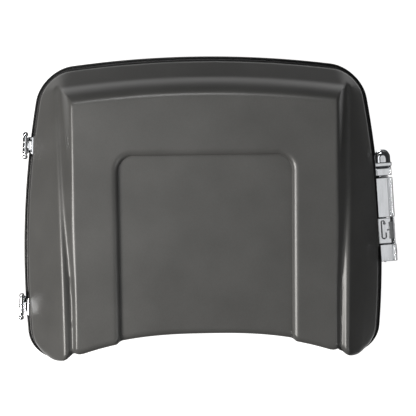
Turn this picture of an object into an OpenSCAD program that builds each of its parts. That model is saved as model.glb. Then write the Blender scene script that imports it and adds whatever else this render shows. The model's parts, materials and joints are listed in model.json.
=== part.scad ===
// Hard-shell motorcycle touring trunk: tub, side-hinged lid, long side latch.
// Millimetres. +X is the latch side, -X the hinge side, -Y the rider's side,
// +Z up. The origin is the middle of the rack bolt pattern, on the underside
// of the mounting plate.

/* [Tub] */
// Height of the tub from the mounting plate's underside to the top of its wall
tub_h = 176; // [120:1:240]
// Thickness of the tub's moulded wall
tub_wall = 4; // [3:0.5:6]
// Thickness of the tub's floor
tub_floor = 5; // [4:0.5:8]

/* [Lid] */
// Half of the lid's greatest width, at its lower edge
lid_half = 306; // [270:1:340]
// Distance from the origin to the middle of the lid's rear edge
lid_rear = 253.5; // [230:0.5:280]
// Distance from the origin to the middle of the lid's scooped front edge
lid_front = 210; // [190:1:225]
// Greatest reach of the two front lobes
lobe_front = 255; // [245:1:275]
// Rise of the flat top above the lid's lower edge, at the rear
lid_rise = 106; // [90:1:130]
// Thickness of the lid's moulded wall
lid_wall = 3.5; // [2.5:0.5:5]
// Height of the short upright lip round the lid's lower edge
lid_lip = 8; // [7:0.5:12]
// Radius of the lid's rear corners in plan
rear_corner = 42; // [30:1:55]
// Radius of the lid's front corners in plan
front_corner = 40; // [30:1:50]

/* [Top recess] */
// Half of the recess's width at its foot
recess_half = 146; // [110:1:165]
// How far behind the origin the recess's rear foot line lies
recess_rear = 95; // [60:1:120]
// Depth of the recess
recess_depth = 10; // [4:0.5:14]
// Radius of the recess's two rear corners
recess_corner = 25; // [15:1:40]

/* [Rim and seal] */
// How far the rim moulding stands out beyond the lid's edge
rim_out = 9.5; // [7:0.5:14]
// Height of the rim moulding
rim_h = 20; // [14:1:28]
// Thickness of the rubber seal between the tub and the lid
seal_h = 7.7; // [5:0.1:10]

/* [Hinges] */
// Distance from the hinge pin's axis to the rim moulding's outer face
pin_out = 6.5; // [6:0.5:12]
// Radius of a hinge pin
pin_r = 2.5; // [2:0.25:3]
// Outer radius of a hinge knuckle
knuckle_r = 4.8; // [4.5:0.1:7]
// Length of a hinge's barrel of knuckles
barrel_l = 28; // [22:1:40]
// Where the rear hinge is, behind the origin
hinge_rear_y = 112; // [60:1:140]
// Where the front hinge is, ahead of the origin
hinge_front_y = -169; // [-180:1:-120]

/* [Latch] */
// Length of the whole latch along the tub's side
latch_l = 200; // [180:1:230]
// Greatest reach of the latch beyond the lid's edge
latch_out = 32; // [29:0.5:38]
// Radius of the handle's pivot pin
handle_pin_r = 3; // [2:0.25:4]
// Radius of the lock's turning plug
plug_r = 6; // [5:0.25:8]

/* [Mounting] */
// Rack bolt spacing across the trunk
bolt_x = 180; // [120:1:240]
// Rack bolt spacing along the trunk
bolt_y = 150; // [100:1:200]
// Radius of the rack bolt holes
bolt_hole_r = 3.3; // [2.5:0.1:5]
// Thickness of the steel mounting plate under the tub
plate_t = 3; // [2:0.5:5]

/* [Hidden] */

gap = 0.3;              // clearance between pieces that only pass each other
running = 0.06;         // radial clearance of a pin in its bore
rear_r = 1760;          // radius of the rear edge in plan
side_r = 1585;          // radius of each side in plan
widest_y = -100;        // where the lid is widest
seal_seat = 2;          // how far the tub's wall top lies inside the lid's edge
lid_z = tub_h + seal_h + gap;     // height of the lid's lower edge
flat_half = lid_half - 87;        // half width of the flat top
scoop_ref = flat_half - 6;        // where the front scoop reaches the edge of the flat top
scoop_fall = 27.6;      // how far the scoop comes forward there
flat_fall = 8;          // how much lower the flat top is at the front
ridge_rear_fall = 45;   // how far the cheek's ridge drops towards the rear
groove_deep = 6;        // depth of the groove beside the ridge, at the front
recess_roll = 12;       // width of the rounded shoulder round the recess
hole_fn = 48;

function clamp01(t) = min(max(t, 0), 1);
function ease(t) = let (c = clamp01(t)) c * c * (3 - 2 * c);
function blend_min(a, b, k) = let (h = max(k - abs(a - b), 0) / k) min(a, b) - h * h * k / 4;
function blend_max(a, b, k) = -blend_min(-a, -b, k);
// distance inside two edges that meet at a corner of radius r
function rounded(d1, d2, r) = let (a = max(r - d1, 0), b = max(r - d2, 0))
    a > 0 || b > 0 ? r - sqrt(a * a + b * b) : min(d1, d2);

// ---- plan of the lid's lower edge ----
function rear_edge(x) = lid_rear - x * x / (2 * rear_r);
function side_edge(y) = lid_half - pow(y - widest_y, 2) / (2 * side_r);
function front_edge(x) = let (a = abs(x),
        scoop = scoop_fall * pow(a / scoop_ref, 2.6) + 3.5 * ease((a - recess_half) / 8),
        notch = 6 * exp(-pow((a - flat_half - 8) / 9, 2)))
    -lid_front - blend_min(scoop, lobe_front - lid_front, 6) + notch;
function inside(x, y) = let (ds = side_edge(y) - abs(x))
    y > 0 ? rounded(rear_edge(x) - y, ds, rear_corner) : rounded(y - front_edge(x), ds, front_corner);

// the point on the ray from the origin along p that lies a distance e inside the edge
function on_ray(p, e, lo, hi, n) = let (s = (lo + hi) / 2)
    n == 0 ? p * s :
    inside(p[0] * s, p[1] * s) > e ? on_ray(p, e, s, hi, n - 1) : on_ray(p, e, lo, s, n - 1);
function at_edge(p, e = 0) = on_ray(p, e, 0.4, 3, 22);
right_half = concat([for (a = [-90:6:-60]) a], [-56, -53.5], [for (i = [0:7]) -52 + i],
    [-43, -41, -39, -37, -34, -30], [for (i = [0:7]) -24 + i * 6.5], [for (i = [0:9]) 27 + i * 2.5],
    [55, 61, 68, 75, 82, 90]);
round_angles = concat(right_half, [for (i = [len(right_half) - 2:-1:1]) 180 - right_half[i]]);
function outline(e) = [for (a = round_angles) at_edge([cos(a), sin(a)] * 200, e)];

// ---- height of the lid's top above its lower edge ----
function flat_top(y) = lid_rise - flat_fall * clamp01((lid_rear - 53.5 - y) / 440);
function ridge_x(y) = flat_half + 19.5 + 11.5 * pow(max(y + 240, 0) / (lid_rear + 156.5), 2);
function ridge_h(y) = lid_rise - 11 - ridge_rear_fall * pow(max(y + 170, 0) / (lid_rear + 86.5), 2.2);
function valley_x(y) = ridge_x(y) - 2 - 8 * ease((20 - y) / 180);
function valley_h(y) = ridge_h(y) - groove_deep * ease((20 - y) / 180);
function cheek_share(t) = (sqrt(t * t + 0.0064) - 0.08) / (sqrt(1.0064) - 0.08) - 0.1 * t * (1 - t);
function side_height(x, y) = let (a = abs(x), top = flat_top(y), xv = valley_x(y), xr = ridge_x(y),
        hv = valley_h(y), hr = ridge_h(y))
    a < flat_half ? top :
    a < xv ? top - (top - hv) * ease((a - flat_half) / (xv - flat_half)) :
    a < xr ? hv + (hr - hv) * ease((a - xv) / (xr - xv)) :
    hr - (hr - lid_lip) * cheek_share((a - xr) / (side_edge(y) - xr));
function rear_height(x, y) = let (d = rounded(rear_edge(x) - y, side_edge(y) - abs(x), rear_corner))
    blend_min(blend_max(lid_lip + 1.64 * d, 3 * (d - 10), 4), flat_top(y), 50);
function front_drop(x, y, h) = let (r = min(12, 0.35 * (h - lid_lip)),
        d = rounded(y - front_edge(x), side_edge(y) - abs(x), front_corner))
    r > 0.01 && d < r ? r - sqrt(max(r * r - pow(r - max(d, 0), 2), 0)) : 0;
function recess_drop(x, y) = let (q = rounded(recess_half - abs(x), recess_rear - y, recess_corner))
    q >= 0 ? recess_depth :
    q > -recess_roll ? recess_depth * (1 - sqrt(1 - pow((q + recess_roll) / recess_roll, 2))) : 0;
function lid_height(x, y) = let (h = blend_min(side_height(x, y), rear_height(x, y), 5))
    h - (y < 0 ? front_drop(x, y, h) : 0) - recess_drop(x, y);

// ---- the lid's mesh: a grid over the flat top, then rings out to the edge ----
half_cols = [0, 45, 90, 118, 132, 141, recess_half - 0.6, recess_half, recess_half + 1.5, recess_half + 5,
    recess_half + recess_roll, 180, 196, 207, 213, flat_half];
cols = concat([for (i = [len(half_cols) - 1:-1:1]) -half_cols[i]], half_cols);
front_rows = [0, 0.015, 0.03, 0.05, 0.08, 0.12, 0.17, 0.24, 0.34, 0.48,
    0.65, 0.83];
mid_rows = [recess_rear - 25, recess_rear - 12, recess_rear - 4, recess_rear - 0.6, recess_rear,
    recess_rear + 1.5, recess_rear + 5, recess_rear + recess_roll];
rear_rows = [0.3, 0.55, 0.75, 0.88, 1];
function front_start(x) = front_edge(x) + 14;
function rear_start(x) = rear_edge(x) - 62;
function row_y(x, j) = let (nf = len(front_rows), nm = len(mid_rows))
    j < nf ? front_start(x) + (mid_rows[0] - front_start(x)) * front_rows[j] :
    j < nf + nm ? mid_rows[j - nf] :
    mid_rows[nm - 1] + (rear_start(x) - mid_rows[nm - 1]) * rear_rows[j - nf - nm];
nc = len(cols);
nr = len(front_rows) + len(mid_rows) + len(rear_rows);
grid = [for (j = [0:nr - 1]) for (i = [0:nc - 1]) [cols[i], row_y(cols[i], j)]];
// indices round the grid's border, anticlockwise seen from above
border = concat([for (i = [0:nc - 2]) i], [for (j = [0:nr - 2]) j * nc + nc - 1],
    [for (i = [nc - 1:-1:1]) (nr - 1) * nc + i], [for (j = [nr - 1:-1:1]) j * nc]);
nb = len(border);
ring_steps = [0.06, 0.12, 0.18, 0.25, 0.32, 0.4, 0.5, 0.62, 0.76, 0.9, 1];
border_out = [for (k = border) at_edge(grid[k])];
ring_plan = [for (t = ring_steps) for (k = [0:nb - 1]) grid[border[k]] * (1 - t) + border_out[k] * t];
plan_points = concat(grid, ring_plan);
slope_step = 1;
function steepness(p) = [lid_height(p[0] - slope_step, p[1]) - lid_height(p[0] + slope_step, p[1]),
    lid_height(p[0], p[1] - slope_step) - lid_height(p[0], p[1] + slope_step)] / (2 * slope_step);
top_points = [for (p = plan_points) [p[0], p[1], lid_height(p[0], p[1])]];
under_points = [for (p = plan_points) let (s = steepness(p), n = [s[0], s[1], 1] / norm([s[0], s[1], 1]))
    [p[0], p[1], lid_height(p[0], p[1])] - lid_wall * n];
edge_out = [for (p = border_out) [p[0], p[1], 0]];
edge_in = [for (p = border_out) let (q = at_edge(p, lid_wall)) [q[0], q[1], 0]];
// the last ring's underside is kept inside the upright lip
function lip_point(k) = let (q = edge_in[k], h = lid_height(border_out[k][0], border_out[k][1]))
    [q[0], q[1], max(h - lid_wall, 1)];

module lid_mesh() {
    grid_n = nc * nr;
    last = len(ring_steps) - 1;
    upper_n = grid_n + nb * (last + 1);
    under = concat([for (i = [0:grid_n + nb * last - 1]) under_points[i]],
        [for (k = [0:nb - 1]) lip_point(k)]);
    points = concat(top_points, edge_out, under, edge_in);
    function ring(r, k) = r < 0 ? border[k % nb] : grid_n + r * nb + k % nb;
    o = upper_n + nb;
    faces = [
        for (j = [0:nr - 2]) for (i = [0:nc - 2])
            let (a = j * nc + i, b = a + 1, c = a + nc + 1, d = a + nc)
            each i < (nc - 1) / 2 ?
                [[a, d, c], [a, c, b], [o + a, o + c, o + d], [o + a, o + b, o + c]] :
                [[a, d, b], [b, d, c], [o + a, o + b, o + d], [o + b, o + c, o + d]],
        for (r = [-1:last - 1]) for (k = [0:nb - 1])
            let (a = ring(r, k), b = ring(r, k + 1), c = ring(r + 1, k + 1), d = ring(r + 1, k))
            each [[a, b, c], [a, c, d], [o + a, o + c, o + b], [o + a, o + d, o + c]],
        for (k = [0:nb - 1])
            let (k2 = (k + 1) % nb, a = ring(last, k), b = ring(last, k2), c = upper_n + k2, d = upper_n + k,
                e = o + upper_n + k, f = o + upper_n + k2)
            each [[a, b, c], [a, c, d], [d, c, f], [d, f, e], [e, f, o + b], [e, o + b, o + a]]];
    translate([0, 0, lid_z]) polyhedron(points, faces, convexity = 6);
}

// ---- the tub: rings of the same outline at different insets ----
wall_top = tub_h - plate_t;
tub_out = [[44, 0], [36, 1.5], [28, 7], [22, 18], [15, 50], [5, wall_top - 23],
    [seal_seat, wall_top - 15], [seal_seat, wall_top]];
tub_in = [[seal_seat + tub_wall, wall_top], [seal_seat + tub_wall, wall_top - 17],
    [5 + tub_wall, wall_top - 25],
    [15 + tub_wall, 50], [22 + tub_wall, 20], [27 + tub_wall, tub_floor + 6], [34 + tub_wall, tub_floor + 1],
    [44 + tub_wall, tub_floor]];
module tub_mesh() {
    rings = concat(tub_out, tub_in);
    n = len(round_angles);
    m = len(rings);
    points = concat([for (r = rings) for (p = outline(r[0])) [p[0], p[1], r[1]]],
        [[0, 0, 0], [0, 0, tub_floor]]);
    faces = concat(
        [for (r = [0:m - 2]) for (k = [0:n - 1])
            let (a = r * n + k, b = r * n + (k + 1) % n, c = b + n, d = a + n)
            each [[a, c, b], [a, d, c]]],
        [for (k = [0:n - 1]) [k, (k + 1) % n, m * n]],
        [for (k = [0:n - 1]) [(m - 1) * n + (k + 1) % n, (m - 1) * n + k, m * n + 1]]);
    translate([0, 0, plate_t]) polyhedron(points, faces, convexity = 6);
}

module band(e_out, e_in, z, h) translate([0, 0, z]) linear_extrude(h) difference() {
    polygon(outline(e_out));
    polygon(outline(e_in));
}

// ---- where the hardware sits ----
function axis_x(y) = -(side_edge(y) + rim_out + pin_out);
hinge_turn = atan2(axis_x(hinge_rear_y) - axis_x(hinge_front_y), hinge_rear_y - hinge_front_y);
axis_z = lid_z + 4;
// frame of one hinge: origin on the pin's axis, +X towards the trunk, +Y along the pin
module at_hinge(y) translate([axis_x(y), y, axis_z]) rotate([0, 0, -hinge_turn]) children();
// frame of the latch: origin on the lid's edge, +X outwards, +Y along the edge
latch_mid_y = -2;
latch_turn = atan((latch_mid_y - widest_y) / side_r);
module at_latch() translate([side_edge(latch_mid_y), latch_mid_y, 0]) rotate([0, 0, latch_turn]) children();
module rod_y(r, l, fn = hole_fn) rotate([90, 0, 0]) cylinder(r = r, h = l, center = true, $fn = fn);
module rod_x(r, l, fn = hole_fn) rotate([0, 90, 0]) cylinder(r = r, h = l, center = true, $fn = fn);
module block(x0, x1, y0, y1, z0, z1) translate([x0, y0, z0]) cube([x1 - x0, y1 - y0, z1 - z0]);

rim_z = lid_z - 6 - rim_h;          // underside of the rim moulding
to_lid = rim_out + pin_out;         // from the hinge's axis to the lid's edge
to_tub = to_lid + 5;                // from the hinge's axis to the tub's wall under the rim
web_z = rim_z - axis_z - 3.5;       // top of a body leaf's web, which passes under the rim
screw_r = 2;
screw_head_r = 3.6;
leaf_t = 3;

module screw_x(l, r = screw_r, head = screw_head_r, head_h = 2.2) {
    difference() {
        translate([-head_h / 2, 0, 0]) rod_x(head, head_h);
        translate([-head_h, 0, 0]) rotate([0, 90, 0]) cylinder(r = r * 0.75, h = 1.2, $fn = 6);
    }
    translate([l / 2 - 0.01, 0, 0]) rod_x(r, l + 0.02);
}
module nut_x(x, r = 3.6, h = 2.6, bore = screw_r) translate([x, 0, 0]) rotate([0, 90, 0]) difference() {
    cylinder(r = r, h = h, $fn = 6);
    translate([0, 0, -1]) cylinder(r = bore - 0.02, h = h + 2, $fn = hole_fn);
}

// ---- tub ----
boss_x0 = to_tub - 3.5;             // flat outer face of a hinge boss on the tub
boss_x1 = to_tub + 8.5;             // its flat inner face
lid_pad0 = to_lid - 1.6;            // flat outer face of a hinge pad on the lid's lip
lid_pad1 = to_lid + 5.5;            // its flat inner face
tub_screw_z = web_z - 14.5;         // height of the body leaf's screws from the axis
latch_z0 = rim_z - 30;              // underside of the latch
latch_face = rim_out + 1;           // back of the latch, from the lid's edge
latch_boss0 = -3.5;
latch_boss1 = -16;
latch_front = -latch_l / 2 - 2;
latch_rear = latch_l / 2 - 2;
latch_split = latch_rear - 46;      // where the end cap starts
lock_at = [latch_front + 18, lid_z - 14];            // the lock: along, up
catch_y = [lock_at[0] + 17, lock_at[0] + 62];        // ends of the catch plate
latch_screw_y = [latch_front + 22, catch_y[1] - 3, latch_split - 22];
cap_screw_y = latch_rear - 23;
all_screw_y = concat(latch_screw_y, [cap_screw_y]);
latch_screw_z = rim_z - 10;
body_eye = [-lid_half + 91, tub_h - 26];             // the tether bolts: across, up
lid_eye = [-105, lid_z + 31];
body_eye_y = rear_edge(body_eye[0]) - 14.5;          // their seats' flat faces
lid_eye_y = rear_edge(lid_eye[0]) - 24.5;
post_r = 3;

module at_bolts() for (x = [-1, 1]) for (y = [-1, 1])
    translate([x * bolt_x / 2, y * bolt_y / 2, 0]) children();
drains = [for (s = [-1, 1]) [s * (lid_half - 106), 60 - lid_front]];
drain_r = 4;

module lower_shell() color("#2b2b2b") difference() {
    union() {
        tub_mesh();
        for (y = [hinge_front_y, hinge_rear_y]) at_hinge(y)
            block(boss_x0, boss_x1, -leaf_half - 2, leaf_half + 2, web_z - 28.5, web_z + 1);
        at_latch() block(latch_boss1, latch_boss0, latch_front + 8, latch_rear - 8, latch_z0, rim_z - 2);
        translate([body_eye[0], body_eye_y, body_eye[1]]) block(-12, 12, 0, 6.5, -10, 8);
    }
    for (y = [hinge_front_y, hinge_rear_y]) at_hinge(y) for (s = body_screw_y)
        translate([boss_x0, s, tub_screw_z]) rod_x(screw_r + 0.15, 40);
    at_latch() for (y = all_screw_y)
        translate([-10, y, latch_screw_z]) rod_x(screw_r + 0.15, 30);
    translate([body_eye[0], body_eye_y + 4, body_eye[1]]) rod_y(post_r - 0.6, 9);
    at_bolts() translate([0, 0, plate_t - 1]) cylinder(r = bolt_hole_r, h = tub_floor + 2, $fn = hole_fn);
    for (d = drains) translate([d[0], d[1], plate_t - 1])
        cylinder(r = drain_r + 0.1, h = tub_floor + 2, $fn = hole_fn);
}

plate_half = [bolt_x / 2 + 35, bolt_y / 2 + 30];
module mounting_plate() color("#8c8f92") difference() {
    linear_extrude(plate_t - 0.05) difference() {
        square(2 * plate_half, center = true);
        for (x = [-1, 1]) for (y = [-1, 1])
            translate([x * plate_half[0], y * plate_half[1]]) rotate(45) square(24, center = true);
        circle(r = 42, $fn = 96);
        for (s = [-1, 1]) translate([s * (bolt_x / 2 - 2), 0]) circle(r = 22, $fn = 72);
    }
    at_bolts() translate([0, 0, -1]) cylinder(r = bolt_hole_r, h = plate_t + 2, $fn = hole_fn);
}

module floor_washers() color("#a7a9ab") at_bolts() difference() {
    translate([0, 0, plate_t + tub_floor + 0.05]) cylinder(r = 10, h = 2, $fn = hole_fn);
    translate([0, 0, plate_t + tub_floor - 1]) cylinder(r = bolt_hole_r, h = 4, $fn = hole_fn);
}

module floor_mat() color("#3a3835") translate([0, 0, plate_t + tub_floor + 0.1]) difference() {
    linear_extrude(3) polygon(outline(52));
    at_bolts() translate([0, 0, -1]) cylinder(r = 13, h = 6, $fn = hole_fn);
    for (d = drains) translate([d[0], d[1], -1]) cylinder(r = 8, h = 6, $fn = hole_fn);
}

module drain_grommets() color("#191919") for (d = drains) translate([d[0], d[1], plate_t]) difference() {
    union() {
        translate([0, 0, -1.6]) cylinder(r = 6.5, h = 1.5, $fn = hole_fn);
        translate([0, 0, -0.2]) cylinder(r = drain_r, h = tub_floor + 0.4, $fn = hole_fn);
        translate([0, 0, tub_floor + 0.1]) cylinder(r = 6.5, h = 1.5, $fn = hole_fn);
    }
    translate([0, 0, -3]) cylinder(r = 2, h = tub_floor + 6, $fn = hole_fn);
}

// ---- rim and seal ----
module rim_moulding() color("#141414") {
    band(-rim_out + 1, seal_seat - gap, rim_z, 5);
    band(-rim_out, seal_seat - gap, rim_z + 5, 6);
    band(-rim_out + 1.6, seal_seat - gap, rim_z + 11, 1.6);
    band(-rim_out + 0.4, seal_seat - gap, rim_z + 12.6, rim_h - 15);
    band(-rim_out + 1, -rim_out + 3.2, rim_z + rim_h - 2.4, 2.4);
    band(-rim_out + 4.6, seal_seat - gap, rim_z + rim_h - 2.4, 2.4);
}

module lid_seal() color("#101010") {
    seal_in = seal_seat + tub_wall - 0.2;
    band(seal_seat + 0.2, seal_in, tub_h + 0.05, seal_h * 0.45);
    band(seal_seat + 0.8, seal_in - 0.6, tub_h + 0.05 + seal_h * 0.45, seal_h * 0.25);
    band(seal_seat + 0.2, seal_in, tub_h + 0.05 + seal_h * 0.7, seal_h * 0.3 - 0.05);
}

// ---- hinges ----
knuckle_half = 4.5;                 // half length of the lid leaf's knuckle
barrel_half = barrel_l / 2;
leaf_half = barrel_half + 3;        // half width of a body leaf's plate and of a lid pad
flange_half = barrel_half + 1;      // half width of a lid leaf's flange
body_screw_y = [-9, 9];
lid_screw_y = [-11.5, 11.5];
module knuckle(y0, y1) difference() {
    translate([0, (y0 + y1) / 2, 0]) rod_y(knuckle_r, y1 - y0);
    translate([0, (y0 + y1) / 2, 0]) rod_y(pin_r + running, y1 - y0 + 2);
}
knuckle_spans = [[-barrel_half, -knuckle_half - gap], [knuckle_half + gap, barrel_half]];
module body_leaf(y) at_hinge(y) difference() {
    union() {
        for (k = knuckle_spans) {
            knuckle(k[0], k[1]);
            block(-1.6, 1.6, k[0], k[1], -12, -knuckle_r + 1);
        }
        block(-1.6, 1.6, -barrel_half, barrel_half, web_z - leaf_t, -8);
        block(-1.6, boss_x0 - 0.05, -barrel_half, barrel_half, web_z - leaf_t, web_z);
        block(boss_x0 - leaf_t, boss_x0 - 0.05, -leaf_half, leaf_half, web_z - 26.5, web_z);
    }
    for (s = body_screw_y) translate([boss_x0, s, tub_screw_z]) rod_x(screw_r + 0.15, 20);
    for (k = knuckle_spans) translate([0, (k[0] + k[1]) / 2, 0]) rod_y(pin_r + running, 14);
}
module lid_leaf(y) at_hinge(y) difference() {
    union() {
        knuckle(-knuckle_half, knuckle_half);
        block(knuckle_r - 1.2, lid_pad0 - 1, -knuckle_half, knuckle_half, -1.5, 1.5);
        block(knuckle_r + 0.9, lid_pad0 - 1, -8, 8, -1.6, 1.2);
        block(lid_pad0 - leaf_t, lid_pad0 - 0.05, -flange_half, flange_half, -3.7, 3.8);
    }
    for (s = lid_screw_y) translate([lid_pad0, s, 0]) rod_x(screw_r + 0.15, 20);
    rod_y(pin_r + running, 2 * knuckle_half + 2);
}
module pin(y) at_hinge(y) {
    rod_y(pin_r, barrel_l + 4);
    for (s = [-1, 1]) {
        translate([0, s * (barrel_half + 1.1), 0]) rod_y(pin_r + 0.9, 1.6);
        translate([0, s * (barrel_half + 5.4), 0]) sphere(r = pin_r + 2.1, $fn = hole_fn);
    }
}
module hinge_body_leaf_front() color("#d8dadc") body_leaf(hinge_front_y);
module hinge_body_leaf_rear() color("#d8dadc") body_leaf(hinge_rear_y);
module hinge_lid_leaf_front() color("#d8dadc") lid_leaf(hinge_front_y);
module hinge_lid_leaf_rear() color("#d8dadc") lid_leaf(hinge_rear_y);
module hinge_pin_front() color("#e3e5e7") pin(hinge_front_y);
module hinge_pin_rear() color("#e3e5e7") pin(hinge_rear_y);
module at_hinges() for (y = [hinge_front_y, hinge_rear_y]) at_hinge(y) children();
module hinge_body_screws() color("#b9bbbd") at_hinges() for (s = body_screw_y)
    translate([boss_x0 - leaf_t - 0.05, s, tub_screw_z]) {
        screw_x(boss_x1 - boss_x0 + leaf_t + 6);
        nut_x(boss_x1 - boss_x0 + leaf_t + 2.7);
    }
module hinge_body_backing() color("#77797b") at_hinges() difference() {
    block(boss_x1 + 0.05, boss_x1 + 2.5, -leaf_half, leaf_half, web_z - 25.5, web_z - 3.5);
    for (s = body_screw_y) translate([boss_x1, s, tub_screw_z]) rod_x(screw_r + 0.15, 20);
}
module hinge_lid_screws() color("#b9bbbd") at_hinges() for (s = lid_screw_y)
    translate([lid_pad0 - leaf_t - 0.05, s, 0]) {
        screw_x(lid_pad1 - lid_pad0 + leaf_t + 5, head = 3.2);
        nut_x(lid_pad1 - lid_pad0 + leaf_t + 2.2, r = 3.4, h = 2.2);
    }
module hinge_lid_backing() color("#77797b") at_hinges() difference() {
    block(lid_pad1 + 0.05, lid_pad1 + 1.8, -flange_half, flange_half, -3.7, 0.3);
    for (s = lid_screw_y) translate([lid_pad1, s, 0]) rod_x(screw_r + 0.15, 20);
}

// ---- latch: parts fixed to the tub ----
hp = [latch_face + 11.5, latch_z0 + 10];             // the handle's pivot: outwards, up
cover_x = latch_out - 4;            // inner face of the handle's cover
top_z = lid_z + 5;                  // top of the latch
module latch_spacer() color("#1c1c1c") at_latch() difference() {
    block(latch_boss0 + 0.05, latch_face - 0.05, latch_front + 10, latch_rear - 10,
        latch_z0 + 2, rim_z - 4);
    for (y = all_screw_y) translate([0, y, latch_screw_z]) rod_x(screw_r + 0.15, 60);
}
module latch_housing() color("#c9cbcd") at_latch() difference() {
    union() {
        block(latch_face, latch_face + 3.5, latch_front, latch_split, latch_z0, lid_z - 8);
        block(latch_face, hp[0] - 2, latch_front, latch_split, latch_z0, latch_z0 + 2.5);
        for (y = [latch_front, latch_split - 2.7]) {
            block(latch_face, hp[0], y, y + 2.7, latch_z0, rim_z);
            translate([hp[0], y + 1.35, hp[1]]) rod_y(hp[1] - latch_z0 - 2, 2.7);
            block(hp[0] - 0.1, hp[0] + hp[1] - latch_z0 - 2.5, y, y + 2.7, hp[1], rim_z);
        }
        translate([latch_face, lock_at[0], lock_at[1]]) {
            block(3, 8, -9, 9, -17, -14.5);
            block(6.5, 8, -9, 9, -17, -9.5);
        }
    }
    for (y = latch_screw_y) translate([latch_face, y, latch_screw_z]) rod_x(screw_r + 0.15, 20);
    translate([hp[0], (latch_front + latch_split) / 2, hp[1]]) rod_y(handle_pin_r + running, latch_l);
}
module end_plan(x0, x1) {
    translate([x0, latch_split + gap]) square([x1 - x0, latch_rear - 13 - latch_split - gap]);
    intersection() {
        translate([(x0 + x1) / 2, latch_rear - 14]) scale([1, 28 / (x1 - x0)])
            circle(r = (x1 - x0) / 2, $fn = 96);
        translate([x0, latch_rear - 14]) square([x1 - x0, 20]);
    }
}
module latch_end_cap() color("#e3e5e7") at_latch() difference() {
    union() {
        translate([0, 0, latch_z0]) linear_extrude(lid_z - 4 - latch_z0) end_plan(latch_face, latch_out - 1);
        translate([0, 0, lid_z - 4.5]) linear_extrude(top_z - lid_z + 4.5) end_plan(3, latch_out - 1);
        block(latch_face, latch_out, latch_rear - 30, latch_rear - 22, rim_z + 2, top_z - 3);
        block(2.6, latch_out, latch_rear - 30, latch_rear - 22, top_z - 6, top_z + 1);
    }
    block(6, latch_out - 4, latch_split - 1, latch_rear - 34, top_z - 6, top_z + 3);
    translate([latch_face, cap_screw_y, latch_screw_z]) rod_x(screw_r + 0.1, 24);
}
module latch_screws() color("#8d8f91") at_latch() {
    for (y = latch_screw_y) translate([latch_face + 3.55, y, latch_screw_z]) rotate([0, 0, 180]) {
        screw_x(latch_face + 3.5 - latch_boss1 + 6);
        nut_x(latch_face + 3.5 - latch_boss1 + 2.7);
    }
    translate([latch_boss1 - 2.6, cap_screw_y, latch_screw_z]) screw_x(latch_face + 10 - latch_boss1);
}
module latch_backing() color("#77797b") at_latch() difference() {
    block(latch_boss1 - 2.5, latch_boss1 - 0.05, latch_front + 12, latch_rear - 12,
        rim_z - 19, rim_z - 3);
    for (y = all_screw_y) translate([latch_boss1, y, latch_screw_z]) rod_x(screw_r + 0.15, 20);
}
module handle_pin() color("#c9cbcd") at_latch() translate([hp[0], 0, hp[1]]) {
    translate([0, (latch_front + latch_split) / 2, 0]) rod_y(handle_pin_r, latch_split - latch_front - 0.4);
    translate([0, latch_front - 0.9, 0]) rod_y(handle_pin_r + 2, 1.6);
    translate([0, latch_front + 1, 0]) rod_y(handle_pin_r, 4);
}
bar_y = [catch_y[1] + 1, latch_split - 3.3];         // ends of the handle's hand hold
spring_y = [lock_at[0] + 34, bar_y[0] + 9.5];
spring_wire = 0.9;
module handle_springs() color("#a0a2a4") at_latch() for (y0 = spring_y) translate([hp[0], y0, hp[1]]) {
    for (i = [0:8]) translate([0, i * 1.85, 0]) rotate([90, 0, 0]) rotate_extrude($fn = hole_fn)
        translate([handle_pin_r + 0.3 + spring_wire, 0]) circle(r = spring_wire, $fn = 16);
    translate([-handle_pin_r - 0.3 - spring_wire, 0, 5.5])
        cylinder(r = 0.8, h = 11, center = true, $fn = 16);
}
// ---- anchor bolts for a lid tether ----
module eye_bolt(x, z, y0) translate([x, 0, z]) {
    translate([0, y0 - 5.5, 0]) rod_y(post_r, 11);
    translate([0, y0 - 11.9, 0]) rod_y(post_r + 3.6, 2);
    translate([0, y0 + 1.8, 0]) rod_y(post_r - 0.7, 4);
}
module tether_body_anchor() color("#8d8f91") eye_bolt(body_eye[0], body_eye[1], body_eye_y - 0.1);
module tether_lid_anchor() color("#8d8f91") eye_bolt(lid_eye[0], lid_eye[1], lid_eye_y - 0.1);
// ---- lid ----
liner_up = lid_rise - recess_depth - 19;             // the liner's height above the lid's lower edge
liner_z = lid_z + liner_up;
liner_t = 2.4;
clips = [for (y = [-120, recess_rear - 5]) for (s = [-1, 1]) [s * (lid_half - 136), y]];
catch_screw_y = [catch_y[0] + 8, catch_y[1] - 8];
module lid_shell() color("#3d3d3c") difference() {
    union() {
        lid_mesh();
        for (y = [hinge_front_y, hinge_rear_y]) at_hinge(y)
            block(lid_pad0, lid_pad1, -leaf_half, leaf_half, -4, 3.9);
        at_latch() block(-7, 0.5, catch_y[0] - 5, catch_y[1] + 5, lid_z, lid_z + 6.5);
        translate([lid_eye[0] - 12, 0, 0]) rotate([90, 0, 90]) linear_extrude(24)
            polygon([for (p = [[0, 22], [14, 22], [6, 36], [0, 36]]) [lid_eye_y + p[0], lid_z + p[1]]]);
    }
    for (y = [hinge_front_y, hinge_rear_y]) at_hinge(y) for (s = lid_screw_y)
        translate([lid_pad0, s, 0]) rod_x(screw_r + 0.15, 40);
    at_latch() for (y = catch_screw_y) translate([-3, y, lid_z + 2.7]) rod_x(1.65, 20);
    translate([lid_eye[0], lid_eye_y + 4, lid_eye[1]]) rod_y(post_r - 0.6, 9);
}
liner_half = lid_half - 108;
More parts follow.
